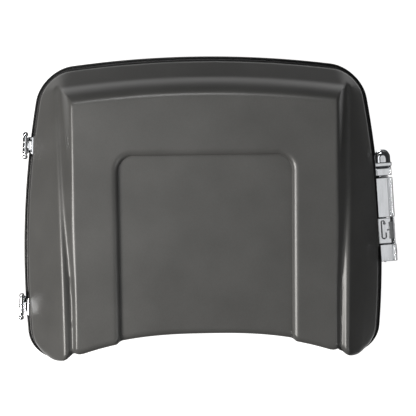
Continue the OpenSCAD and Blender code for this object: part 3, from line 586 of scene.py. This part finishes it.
def needledFelt():
    # needled felt: matted fibres, a soft fuzz at grazing angles
    material, tree, shader = newMaterial("needledFelt", "#514c46", 0.95, Sheen_Weight=0.35,
                                         Sheen_Roughness=0.6)
    here = objectCoordinates(tree)
    # fibres are 0.03 mm thick; their tufts are drawn 2.5 mm across so that they show
    tuft = addNode(tree, "ShaderNodeTexNoise", inputs={"Scale": 1 / 0.0025, "Detail": 6, "Distortion": 1.5},
                   links={"Vector": (here, "Object")})
    tint = addNode(tree, "ShaderNodeValToRGB", links={"Fac": (tuft, "Fac")})
    tint.color_ramp.elements[0].position, tint.color_ramp.elements[1].position = 0.3, 0.7
    tint.color_ramp.elements[0].color = hexColour("#433f3a")
    tint.color_ramp.elements[1].color = hexColour("#5f5a53")
    tree.links.new(tint.outputs["Color"], shader.inputs["Base Color"])
    bump = addNode(tree, "ShaderNodeBump", inputs={"Strength": 0.6, "Distance": 0.0006},
                   links={"Height": (tuft, "Fac")})
    tree.links.new(bump.outputs["Normal"], shader.inputs["Normal"])
    return material


paint = satinPaintedAbs()
nylon = mouldedNylon()
chrome = chromePlate()
steel = zincPlatedSteel()
wire = drawnSpringWire()
sealRubber = extrudedRubber("extrudedFoamRubber", "#101010")
matRubber = extrudedRubber("mouldedMatRubber", "#2a2826")
felt = needledFelt()
slotFinish = {"shell_plastic": paint, "lid_paint": paint, "trim_black": nylon, "seal_rubber": sealRubber,
              "mat_rubber": matRubber, "chrome": chrome, "steel": steel, "spring_steel": wire,
              "liner": felt}
for part in frame["record"]["subparts"]:
    node = frame["nodes"][part["node"]]
    node.data.materials.clear()
    node.data.materials.append(slotFinish[part["material_slot"]])
print("materials made")


# lid
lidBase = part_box("lid_shell")[0][2] / mm
lidMesh = {"cell": 5.5, "fineCell": 2.6, "rings": 30, "rearStart": 62, "frontStart": 14, "wrap": 38,
           "unwrap": 72}


def steps(start, end, size):
    count = max(1, round(abs(end - start) / size))
    return [start + (end - start) * i / count for i in range(count)]


def gridColumns():
    edge, roll, flat = recess["half"], recess["roll"], shell["flatHalf"]
    half = steps(0, edge - recess["corner"],
                 lidMesh["cell"]) + steps(edge - recess["corner"], edge - 1, lidMesh["fineCell"])
    half += [edge - 0.5, edge, edge + 0.15, edge + 0.5, edge + 1.1,
             edge + 2] + steps(edge + 3.2, edge + roll, 1.6)
    half += steps(edge + roll, 205, lidMesh["cell"]) + steps(205, flat, 2) + [flat]
    return [-x for x in reversed(half[1:])] + half


def gridRows(x):
    edge, roll = recess["rear"], recess["roll"]
    front, rear = frontEdge(x) + lidMesh["frontStart"], rearEdge(x) - lidMesh["rearStart"]
    middle = edge - recess["corner"]
    count = 58
    rows = [front + (middle - front) * (i / count) ** 1.35 for i in range(count)]
    rows += steps(middle, edge - 1, lidMesh["fineCell"])
    rows += [edge - 0.5, edge, edge + 0.15, edge + 0.5, edge + 1.1,
             edge + 2] + steps(edge + 3.2, edge + roll, 1.6)
    return rows + [edge + roll + (rear - edge - roll) * i / 17 for i in range(18)]


def wrapCorner(x, y):
    # bends the grid's square lines round the recess's rear corners
    dx, dy = abs(x) - (recess["half"] - recess["corner"]), y - (recess["rear"] - recess["corner"])
    if dx <= 0 or dy <= 0:
        return x, y
    reach = max(dx, dy)
    turn = math.pi / 4 * dy / dx if dx >= dy else math.pi / 2 - math.pi / 4 * dx / dy
    share = ease(reach / 14) * (1 - ease((reach - lidMesh["wrap"]) / (lidMesh["unwrap"] - lidMesh["wrap"])))
    dx += (reach * math.cos(turn) - dx) * share
    dy += (reach * math.sin(turn) - dy) * share
    return math.copysign(recess["half"] - recess["corner"] + dx, x), recess["rear"] - recess["corner"] + dy


def makeLidShell():
    columns = gridColumns()
    rowCount = len(gridRows(0))
    bm = bmesh.new()
    bmesh.ops.create_grid(bm, x_segments=len(columns) - 1, y_segments=rowCount - 1, size=1)
    order = sorted(bm.verts, key=lambda v: (round(v.co.y, 6), v.co.x))
    width = len(columns)
    assert len(order) == width * rowCount
    rowsAt = [gridRows(x) for x in columns]
    for k, vert in enumerate(order):
        i, j = k % width, k // width
        x, y = wrapCorner(columns[i], rowsAt[i][j])
        vert.co = Vector((x, y, lidBase + lidHeight(x, y))) * mm
    border = order[:width] + [order[j * width + width - 1] for j in range(1, rowCount)]
    border += [order[(rowCount - 1) * width + i] for i in range(width - 2, -1, -1)]
    border += [order[j * width] for j in range(rowCount - 2, 0, -1)]
    starts = [(v.co.x / mm, v.co.y / mm) for v in border]
    ends = [edgePoint(x, y) for x, y in starts]
    ring = border
    for k in range(1, lidMesh["rings"] + 1):
        t = k / lidMesh["rings"]
        spots = [(a + (c - a) * t, b + (d - b) * t) for (a, b), (c, d) in zip(starts, ends)]
        ring = growRing(bm, ring, lambda i: (*spots[i], lidBase + lidHeight(*spots[i])))
    for drop in (0.25, 0.5, 0.75, 1.0):
        ring = growRing(bm, ring, lambda i: (*ends[i], lidBase + shell["lip"] * (1 - drop)))
    bmesh.ops.recalc_face_normals(bm, faces=bm.faces)
    piece = finishPiece("lidShell", bm, paint, "lid", ["lid_shell"], sharp=50, weighted=False)
    wall = piece.modifiers.new("wall", "SOLIDIFY")
    wall.thickness = shell["wall"] * mm
    wall.offset = -1
    return piece


makeLidShell()
finishPiece("lidEdgeBead", band([(0.6 - 1.7 * math.cos(math.radians(a)),
                                  lidBase + 2 + 1.7 * math.sin(math.radians(a)))
                                 for a in range(-80, 281, 30)]), paint, "lid", sharp=60,
                                 weighted=False)
print("lid shell made")


# tub, rim and seal
tub = {"wall": 4, "base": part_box("lower_shell")[0][2] / mm,
       "profile": [(44, 0), (36, 1.2), (28, 6.5), (22, 17), (15, 50), (10, 100), (5, 150), (2.4, 158),
                   (2, 173)]}


def makeTub():
    bm = bmesh.new()
    path = smoothPath(tub["profile"], 4)
    loops = [[(x, y, tub["base"] + h) for x, y in outline(e)] for e, h in path]
    top = loops[-1]
    ring = startRing(bm, top)
    for loop in reversed(loops[:-1]):
        ring = growRing(bm, ring, lambda i, loop=loop: loop[i])
    for inset in (60, 90, 130):
        flat = outline(inset)
        ring = growRing(bm, ring, lambda i: (*flat[i], tub["base"]))
    bmesh.ops.contextual_create(bm, geom=[bm.edges.get((ring[i], ring[(i + 1) % len(ring)]))
                                          for i in range(len(ring))])
    bmesh.ops.recalc_face_normals(bm, faces=bm.faces)
    if sum(f.normal.z * f.calc_area() for f in bm.faces) > 0:
        bmesh.ops.reverse_faces(bm, faces=bm.faces)
    piece = finishPiece("tubShell", bm, paint, "tub", ["lower_shell"], sharp=50,
                        weighted=False)
    wall = piece.modifiers.new("wall", "SOLIDIFY")
    wall.thickness = tub["wall"] * mm
    wall.offset = -1


makeTub()
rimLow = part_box("rim_moulding")[0][2] / mm
rimProfile = [(1.7, 0), (-7.2, 0), (-8.1, 0.4), (-8.5, 1.2), (-8.5, 4.6), (-8.9, 5.3), (-9.4, 5.8),
              (-9.5, 6.5), (-9.5, 10.2),
              (-9.2, 10.8), (-8.2, 11.1), (-7.9, 11.4), (-7.9, 12.2), (-8.2, 12.5), (-8.9, 12.8),
              (-9.1, 13.4), (-9.1, 17),
              (-8.9, 18.2), (-8.2, 19.4), (-7.4, 19.9), (-6.8, 19.7), (-6.3, 18.9), (-6, 17.8),
              (-5.3, 17.8), (-5, 18.9),
              (-4.5, 19.8), (-3.8, 20), (1.2, 20), (1.7, 19.5), (1.7, 0)]
finishPiece("rimMoulding", band([(e, rimLow + h) for e, h in rimProfile]), nylon, "tub",
            ["rim_moulding"],
            sharp=60, weighted=False)
sealLow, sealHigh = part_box("lid_seal")[0][2] / mm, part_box("lid_seal")[1][2] / mm
sealTall = sealHigh - sealLow
finishPiece("lidSeal", band([(2.3, sealLow), (5.7, sealLow), (5.7, sealLow + 0.4 * sealTall),
                             (4.8, sealLow + 0.5 * sealTall),
                             (5.5, sealLow + 0.75 * sealTall), (5, sealLow + 0.95 * sealTall),
                             (4, sealHigh - 0.05),
                             (3, sealLow + 0.95 * sealTall), (2.5, sealLow + 0.75 * sealTall),
                             (3, sealLow + 0.5 * sealTall),
                             (2.3, sealLow + 0.4 * sealTall), (2.3, sealLow)]), sealRubber, "tub",
            ["lid_seal"], sharp=50, weighted=False)
print("tub, rim and seal made")


# hinges
hinge = {"spots": {"front": -169, "rear": 112}, "fromEdge": 16, "axisHeight": 188, "knuckle": 4.8,
         "bore": 2.56, "pin": 2.5,
         "barrel": 14, "middle": 4.5, "clear": 0.3, "ball": 4.6, "ballAt": 19.4, "web": -33.5,
         "tubFace": 17.45, "lipFace": 14.35}


def hingeFrame(y):
    ends = [-(sideEdge(v) + hinge["fromEdge"]) for v in (hinge["spots"]["front"], hinge["spots"]["rear"])]
    turn = math.atan2(ends[1] - ends[0], hinge["spots"]["rear"] - hinge["spots"]["front"])
    place = shift(-(sideEdge(y) + hinge["fromEdge"]), y, hinge["axisHeight"])
    return place @ Matrix.Rotation(-turn, 4, "Z")


def knuckleProfile(h0, h1):
    r, bore, ease45 = hinge["knuckle"], hinge["bore"], 0.5
    return [(bore, h0), (r - ease45, h0), (r - 0.15, h0 + 0.15), (r, h0 + ease45), (r, h1 - ease45),
            (r - 0.15, h1 - 0.15),
            (r - ease45, h1), (bore, h1), (bore, h0)]


def makeHinge(name, y):
    place = hingeFrame(y)
    half, middle = hinge["barrel"], hinge["middle"]
    # pin with a collar and a ball turned on each end
    bm = bmesh.new()
    at, r, pin = hinge["ballAt"], hinge["ball"], hinge["pin"]
    end = [(x, at + h) for x, h in arcPoints(0, 0, r, -58, 90, 14)]
    end[-1] = (0, at + r)
    collar = [(pin, half + 0.35), (3.1, half + 0.35), (3.4, half + 0.6), (3.4, half + 1.6),
              (3.1, half + 1.9), (2.2, half + 1.95)]
    side = collar + end
    addTurned(bm, place @ alongY, [(x, -h) for x, h in reversed(side)] + side, 40)
    finishPiece("hingePin" + name, bm, chrome, "tub", ["hinge_pin_" + name.lower()], sharp=50)
    # leaf on the tub: two knuckles, a strap that drops past the rim, and a plate with rounded corners
    bm = bmesh.new()
    for sign in (-1, 1):
        ends = sorted((sign * (middle + hinge["clear"]), sign * half))
        addTurned(bm, place @ alongY, knuckleProfile(*ends), 40)
        addBlock(bm, place, -1.6, 1.6, ends[0], ends[1], -12, -3.9, 0.4, 2)
    web, face = hinge["web"], hinge["tubFace"]
    addBlock(bm, place, -1.6, 1.6, -half, half, web - 3, -8, 0.9, 3)
    addBlock(bm, place, -1.6, face, -half, half, web - 3, web, 0.9, 3)
    addBlock(bm, place, face - 2.95, face, -17, 17, web - 26.5, web, 1.1, 3)
    addBlock(bm, place, -2.3, -1.2, -half + 3, half - 3, web + 1.5, -13.5, 0.5, 3)
    finishPiece("hingeTubLeaf" + name, bm, chrome, "tub", ["hinge_body_leaf_" + name.lower()],
                sharp=50)
    # leaf on the lid: the middle knuckle, a flared arm with a raised frame, and a flange on the lid's lip
    bm = bmesh.new()
    addTurned(bm, place @ alongY, knuckleProfile(-middle, middle), 40)
    addBlock(bm, place, 3.4, 7, -middle, middle, -1.5, 1.5, 0.4, 2)
    addBlock(bm, place, 5.7, hinge["lipFace"] - 1, -8, 8, -1.6, 1.2, 0.6, 3)
    for x0, x1, y0, y1 in ((5.7, 7.2, -8, 8), (10.6, 13.2, -8, 8), (5.7, 13.2, -8, -6.2),
                           (5.7, 13.2, 6.2, 8)):
        addBlock(bm, place, x0, x1, y0, y1, 0.4, 2.2, 0.5, 3)
    addBlock(bm, place, hinge["lipFace"] - 2.95, hinge["lipFace"], -15, 15, -3.7, 3.8, 0.8, 3)
    finishPiece("hingeLidLeaf" + name, bm, chrome, "lid", ["hinge_lid_leaf_" + name.lower()],
                sharp=50)


for name, y in hinge["spots"].items():
    makeHinge(name.capitalize(), y)
print("hinges made")


# latch
latch = {"front": -102, "rear": 98, "split": 52, "mid": -2, "face": 10.5, "out": 32, "low": 128, "top": 189,
         "pivot": (22, 138), "lock": (-84, 170), "plug": 6, "catch": (-67, -22), "cover": 28, "rim": 158,
         "barFront": -21, "blockRear": -69}
latchPlace = shift(sideEdge(latch["mid"]), latch["mid"], 0)
latchPlace = latchPlace @ Matrix.Rotation(math.atan((latch["mid"] - shell["widestY"]) / shell["sideBow"]),
                                          4, "Z")


def blocks(bm, place, rows, bevel=0.8, segments=3):
    for row in rows:
        addBlock(bm, place, *row[:6], *(row[6:] or (bevel,)), segments=segments)


def tubeAlong(bm, place, path, radius, sides=16):
    # a round wire along a path of (x, y, z) points, with domed ends
    points = [Vector(p) for p in path]
    first = (points[1] - points[0]).normalized()
    across = first.orthogonal().normalized()
    frames = []
    for i, p in enumerate(points):
        ahead = (points[min(i + 1, len(points) - 1)] - points[max(i - 1, 0)]).normalized()
        across = (across - ahead * across.dot(ahead)).normalized()
        frames.append((p, ahead, across, radius))
    dome = [(math.sin(math.radians(a)), math.cos(math.radians(a))) for a in (15, 35, 55, 75)]
    start, stop = frames[0], frames[-1]
    frames = [(start[0] - start[1] * radius * c, start[1], start[2], radius * s) for s, c in dome] + frames
    frames += [(stop[0] + stop[1] * radius * c, stop[1], stop[2], radius * s) for s, c in reversed(dome)]

    def spot(frame, i):
        p, ahead, side, r = frame
        a = math.tau * i / sides
        return (place @ (p + side * r * math.cos(a) + ahead.cross(side) * r * math.sin(a)))[:]

    made = bmesh.ops.create_circle(bm, segments=sides, radius=1)["verts"]
    ring = sorted(made, key=lambda v: math.atan2(v.co.y, v.co.x))
    for i, v in enumerate(ring):
        v.co = Vector(spot(frames[0], i)) * mm
    bmesh.ops.contextual_create(bm, geom=[bm.edges.get((ring[i - 1], ring[i])) for i in range(sides)])
    for frame in frames[1:]:
        ring = growRing(bm, ring, lambda i, frame=frame: spot(frame, i))
    bmesh.ops.contextual_create(bm, geom=[bm.edges.get((ring[i - 1], ring[i])) for i in range(sides)])
    bmesh.ops.recalc_face_normals(bm, faces=bm.faces)


def makeLatchBase():
    bm = bmesh.new()
    blocks(bm, latchPlace, [(-3.45, 10.45, -92, 88, 130, 154, 1.5)])
    blocks(bm, latchPlace, [(9.2, 10.45, -96, 92, 129, 155, 0.4)])
    finishPiece("latchSpacer", bm, nylon, "tub", ["latch_spacer"])
    bm = bmesh.new()
    front, split, face, low = latch["front"], latch["split"], latch["face"], latch["low"]
    px, pz = latch["pivot"]
    blocks(bm, latchPlace, [(face, face + 3.5, front, split, low, 176),
                            (face, px - 2, front, split, low, low + 2.5),
                            (face + 3, face + 8, -93, -75, 153, 155.5, 0.4),
                            (face + 6.5, face + 8, -93, -75, 153, 160.5, 0.4)])
    for y in (front, split - 2.7):
        blocks(bm, latchPlace, [(face, px, y, y + 2.7, low, latch["rim"]),
                                (px - 2, px + 7.5, y, y + 2.7, pz, latch["rim"])])
        addTurned(bm, latchPlace @ shift(px, 0, pz) @ alongY, rodProfile(8, y, y + 2.7), 48)
    finishPiece("latchHousing", bm, chrome, "tub", ["latch_housing"], sharp=50)


makeLatchBase()


def capPlan(x0, x1, y0, inset):
    # the end cap's outline: square at the front, half an ellipse at the rear
    a, b, cy = (x1 - x0) / 2 - inset, 14 - inset, latch["rear"] - 14
    rim = [((x0 + x1) / 2 + a * math.cos(t),
            cy + b * math.sin(t)) for t in (math.pi * i / 28 for i in range(29))]
    left = [(x0 + inset, cy + (y0 + inset - cy) * i / 6) for i in range(1, 7)]
    foot = [(x0 + inset + 2 * a * i / 6, y0 + inset) for i in range(1, 7)]
    right = [(x1 - inset, cy + (y0 + inset - cy) * (6 - i) / 6) for i in range(1, 6)]
    return rim + left + foot + right


def addStack(bm, layers):
    # stacks (outline, height) layers and closes both ends
    ring = bmesh.ops.create_circle(bm, segments=len(layers[0][0]), radius=1)["verts"]
    ring = sorted(ring, key=lambda v: math.atan2(v.co.y, v.co.x))

    def spot(layer, i):
        (x, y), z = layer[0][i], layer[1]
        return latchPlace @ Vector((x, y, z))

    for i, v in enumerate(ring):
        v.co = spot(layers[0], i) * mm
    bmesh.ops.contextual_create(bm, geom=[bm.edges.get((ring[i - 1], ring[i])) for i in range(len(ring))])
    for layer in layers[1:]:
        ring = growRing(bm, ring, lambda i, layer=layer: spot(layer, i))
    bmesh.ops.contextual_create(bm, geom=[bm.edges.get((ring[i - 1], ring[i])) for i in range(len(ring))])
    bmesh.ops.recalc_face_normals(bm, faces=bm.faces)


def makeEndCap():
    bm = bmesh.new()
    split, face, out, top = latch["split"] + 0.3, latch["face"], latch["out"], latch["top"]
    addStack(bm, [(capPlan(face, out - 1, split, e), z) for e,
                  z in ((1.2, 128), (0.3, 128.5), (0, 129.2), (0, 180))])
    steps3 = ((0.4, 179.5), (0, 179.9), (0, 183.4), (0.4, 183.9), (1.6, 184.1), (1.9, 184.5), (2.1, 185.3),
              (2.8, 186.4),
              (3.8, 187.4), (5.2, 188.2), (6.8, 188.7), (8.6, 188.95), (10.4, top))
    addStack(bm, [(capPlan(3, out - 1, 64, e), z) for e, z in steps3])
    blocks(bm, latchPlace, [(3, out - 1, split, 66, 179.5, 183, 0.6), (3, 6, split, 66, 181, top, 1),
                            (28, out - 1, split, 66, 181, top, 1),
                            (face, out, 68, 76, 160, 186, 0.8), (2.6, out, 68, 76, 183, 190, 1.6)],
                            segments=4)
    finishPiece("latchEndCap", bm, chrome, "tub", ["latch_end_cap"], sharp=45)


makeEndCap()


def makeHandle():
    bm = bmesh.new()
    cover, out, top = latch["cover"], latch["out"], latch["top"]
    px, pz = latch["pivot"]
    start, bar0, bar1, rearY = latch["front"] + 3, latch["barFront"], latch["split"] - 3.3, latch["blockRear"]
    lugs = (latch["front"] + 6.2, latch["lock"][0] + 18, bar0 + 1, latch["split"] - 10)
    for y in lugs:
        addTurned(bm, latchPlace @ shift(px, 0, pz) @ alongY,
                  [(3.06, y), (5.9, y), (6.4, y + 0.5), (6.4, y + 5.5), (5.9, y + 6), (3.06, y + 6),
                   (3.06, y)], 40)
        blocks(bm, latchPlace, [(px + 3.2, cover + 1, y, y + 6, 135, 144.4, 0.5)])
    blocks(bm, latchPlace, [
        (cover, out - 1, start, bar1, 135, top - 2.6, 1),
        (3, cover + 1, bar0, bar1, top - 6, top - 3.1, 0.5),
        (3, 23, bar0, bar1, top - 3.4, top, 0.9),
        (24.4, 25.8, bar0 + 1, bar1 - 1, top - 3.4, top - 1.6, 0.5),
        (cover, out, bar0, bar1, top - 6, top, 1.3),
        (3, 25, start, rearY, top - 3, top, 0.9), (24, cover + 1, start, rearY, top - 3, top - 1.4, 0.4),
        (cover - 0.4, out, start, rearY, top - 3, top, 1.3), (cover, out, start, rearY, 155, top - 2, 1.3)],
        segments=4)
    for y in (start, rearY - 2.5):
        blocks(bm, latchPlace, [(14.6, cover + 1, y, y + 2.5, 162.5, top - 1, 0.6),
                                (3, 15, y, y + 2.5, 179.5, top - 1, 0.6)])
    finishPiece("latchHandle", bm, chrome, "latch_lever", ["latch_handle"], sharp=50)
    bm = bmesh.new()
    blocks(bm, latchPlace, [(cover - 3.05, cover - 0.05, -59, -29, 158, top + 6, 0.8),
                            (cover - 8.4, cover - 1, -59, -29, top + 3.3, top + 6, 0.8)])
    finishPiece("latchClaw", bm, steel, "latch_lever", ["handle_claw"], sharp=50)


makeHandle()


def makeLock():
    bm = bmesh.new()
    y, z = latch["lock"]
    place = latchPlace @ shift(0, y, z) @ alongX
    bore = latch["plug"] + 0.06
    addTurned(bm, place, [(bore, 16.6), (7.4, 16.6), (8, 17.2), (8, 32.05), (9.2, 32.05), (9.6, 32.4),
                          (9.5, 32.9), (9.1, 33.25),
                          (7.9, 33.25), (7.6, 33.1), (bore, 33.1), (bore, 16.6)], 64)
    finishPiece("lockBarrel", bm, chrome, "latch_lever", ["lock_barrel"], sharp=50)


makeLock()


def makeCatch():
    bm = bmesh.new()
    y0, y1, top = *latch["catch"], latch["top"]
    blocks(bm, latchPlace, [(0.6, 23.5, y0, y1, top, top + 3, 1), (0.6, 3, y0, y1, 184.3, top + 1.2, 0.6),
                            (0.6, 2.2, y0 + 0.6, y1 - 0.6, top + 2.4, top + 4, 0.6)], segments=4)
    finishPiece("catchPlate", bm, chrome, "lid", ["catch_plate"], sharp=50)
    # keeper: a wire bent like a J, lying on the plate, with an eye at its head and a rivet beside it
    bm = bmesh.new()
    t, wireR, z = keeper["t"], keeper["wire"], top + 3.05 + keeper["wire"]
    path = [(t + dx, keeper["head"] + dy, z) for dx, dy in
            [(2.6 - 2.6 * math.cos(math.radians(a)),
              2.6 * math.sin(math.radians(a))) for a in (180, 150, 120, 90, 60, 30, 0)]]
    path += [(t, keeper["head"] + (keeper["bend"] - keeper["head"]) * i / 8, z) for i in range(1, 9)]
    r = keeper["hook"]
    path += [(t + r - r * math.cos(math.radians(a)), keeper["bend"] - r * math.sin(math.radians(a)),
              z) for a in range(15, 181, 15)]
    path += [(t + 2 * r, keeper["bend"] + d, z) for d in (1.5, 3, 4.5, 6)]
    tubeAlong(bm, latchPlace, path, wireR)
    addTurned(bm, latchPlace @ shift(t + 5.2, keeper["head"] - 2.3, top + 3.02),
              [(0, 0), (2.1, 0), (2.3, 0.6), (2.2, 1.8), (1.6, 2.4), (0, 2.6)], 32)
    addTurned(bm, latchPlace @ shift(*keeper["rivet"], top + 3.02),
              [(0, 0), (1.7, 0), (1.7, 0.5), (1.3, 1.1), (0, 1.35)], 32)
    finishPiece("keeperWire", bm, wire, "lid", ["keeper_spring"], sharp=50)


keeper = {"t": 6.8, "wire": 1.1, "head": -29, "bend": -54.5, "hook": 3.7, "rivet": (17.6, -43)}
makeCatch()
print("latch made")


def makeBosses():
    # thickened pads moulded behind the hinges, the latch and the tether bolts
    bm = bmesh.new()
    for y in hinge["spots"].values():
        addBlock(bm, hingeFrame(y), 17.5, 29.5, -19, 19, -62, -32.5)
    addBlock(bm, latchPlace, -16, -3.5, -94, 90, 128, 156)
    addBlock(bm, Matrix.Identity(4), -227, -203, 225.9, 232.4, 140, 158)
    finishPiece("tubBosses", bm, paint, "tub")
    bm = bmesh.new()
    for y in hinge["spots"].values():
        addBlock(bm, hingeFrame(y), 14.4, 21.5, -17, 17, -4, 3.9, 0.5)
    addBlock(bm, latchPlace, -7, 0.5, -72, -17, 184, 190.5, 0.5)
    for v in addBlock(bm, Matrix.Identity(4), -117, -93, 225.9, 239.9, 206, 220, 0):
        v.co.z = min(v.co.z, (lidBase + lidHeight(v.co.x / mm, v.co.y / mm) - 2) * mm)
    finishPiece("lidPads", bm, paint, "lid")


makeBosses()
print("bosses made")


# inside
def makeLiner():
    # felt on board, its edge rolled down, with a stitched groove a little way in
    low, high = (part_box("lid_liner")[k][2] / mm for k in (0, 1))
    plan = linerPlan()
    bm = bmesh.new()
    layers = ((0, high - 0.5), (0.4, high), (9, high), (10, high - 0.7), (11, high), (30, high), (80, high),
              (115, high))
    bottom = ((0, low + 0.7), (0.5, low), (9, low), (10, low + 0.7), (11.4, low), (30, low), (80, low),
              (115, low))
    centre = Vector((0, -20))

    def spot(inset, z, i):
        p = Vector(plan[i]) - centre
        p = centre + p * (1 - inset / p.length)
        return (p.x, p.y, z)

    ring = startRing(bm, [spot(*layers[0], i) for i in range(len(plan))])
    first = ring
    for layer in layers[1:]:
        ring = growRing(bm, ring, lambda i, layer=layer: spot(*layer, i))
    bmesh.ops.contextual_create(bm, geom=[bm.edges.get((ring[i - 1], ring[i])) for i in range(len(ring))])
    ring = first
    for layer in bottom:
        ring = growRing(bm, ring, lambda i, layer=layer: spot(*layer, i))
    bmesh.ops.contextual_create(bm, geom=[bm.edges.get((ring[i - 1], ring[i])) for i in range(len(ring))])
    bmesh.ops.recalc_face_normals(bm, faces=bm.faces)
    finishPiece("lidLiner", bm, felt, "lid", ["lid_liner"], sharp=50, weighted=False)


def linerPlan():
    half = shell["half"] - 108
    front = [(x, frontEdge(x) + 13) for x in (-half + 3 + i * (2 * half - 6) / 60 for i in range(61))]
    corners = [(half, front[0][1] + 5), (half, 0), (half, 150), (half - 78, 175.5), (78 - half, 175.5),
               (-half, 150), (-half, 0)]
    line = front + corners
    even = []
    for a, b in zip(line, line[1:] + line[:1]):
        count = max(1, round(math.dist(a, b) / 6))
        even += [(a[0] + (b[0] - a[0]) * i / count, a[1] + (b[1] - a[1]) * i / count) for i in range(count)]
    start = min(range(len(even)), key=lambda i: math.atan2(even[i][1] + 1e-6, even[i][0]))
    return even[start:] + even[:start]


makeLiner()


def makeFloorMat():
    low, high = (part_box("floor_mat")[k][2] / mm for k in (0, 1))
    bm = bmesh.new()
    outer = outline(52)
    profile = [(0, low), (0, high - 0.8), (0.8, high), (6, high), (7, high - 0.8), (9, high - 0.8)]
    ring = startRing(bm, [(x, y, low) for x, y in outer])
    base = ring
    for inset, z in profile[1:]:
        loop = outline(52 + inset)
        ring = growRing(bm, ring, lambda i, loop=loop, z=z: (*loop[i], z))
    bmesh.ops.contextual_create(bm, geom=[bm.edges.get((ring[i - 1], ring[i])) for i in range(len(ring))])
    bmesh.ops.contextual_create(bm, geom=[bm.edges.get((base[i - 1], base[i])) for i in range(len(base))])
    bmesh.ops.recalc_face_normals(bm, faces=bm.faces)
    # raised ribs, cut short round the four rack bolts and the two drains
    gaps = [(x, y, 16) for x in (-90, 90) for y in (-75, 75)] + [(x, -150, 11) for x in (-200, 200)]
    for k in range(-19, 20):
        x = k * mat["pitch"]
        y0, y1 = frontInside(x, 64), rearInside(x, 64)
        spans = [(y0, y1)]
        for gx, gy, gr in gaps:
            if abs(gx - x) < gr:
                reach = math.sqrt(gr * gr - (gx - x) ** 2)
                spans = [part for a, b in spans for part in ((a, min(b, gy - reach)), (max(a, gy
                    + reach), b)) if part[1] - part[0] > 3]
        for a, b in spans:
            addBlock(bm, Matrix.Identity(4), x - mat["rib"] / 2, x + mat["rib"] / 2, a, b, high - 1.2, high,
                     0.35, 1)
    finishPiece("floorMat", bm, matRubber, "tub", ["floor_mat"], sharp=40, weighted=False)


def reachInside(x, inset, sign):
    low, high = 0.0, 300.0
    for _ in range(24):
        middle = (low + high) / 2
        if inside(x, sign * middle) > inset:
            low = middle
        else:
            high = middle
    return sign * low


def frontInside(x, inset):
    return reachInside(x, inset, -1)


def rearInside(x, inset):
    return reachInside(x, inset, 1)


mat = {"pitch": 12.0, "rib": 4.0}
makeFloorMat()
print("liner and mat made")
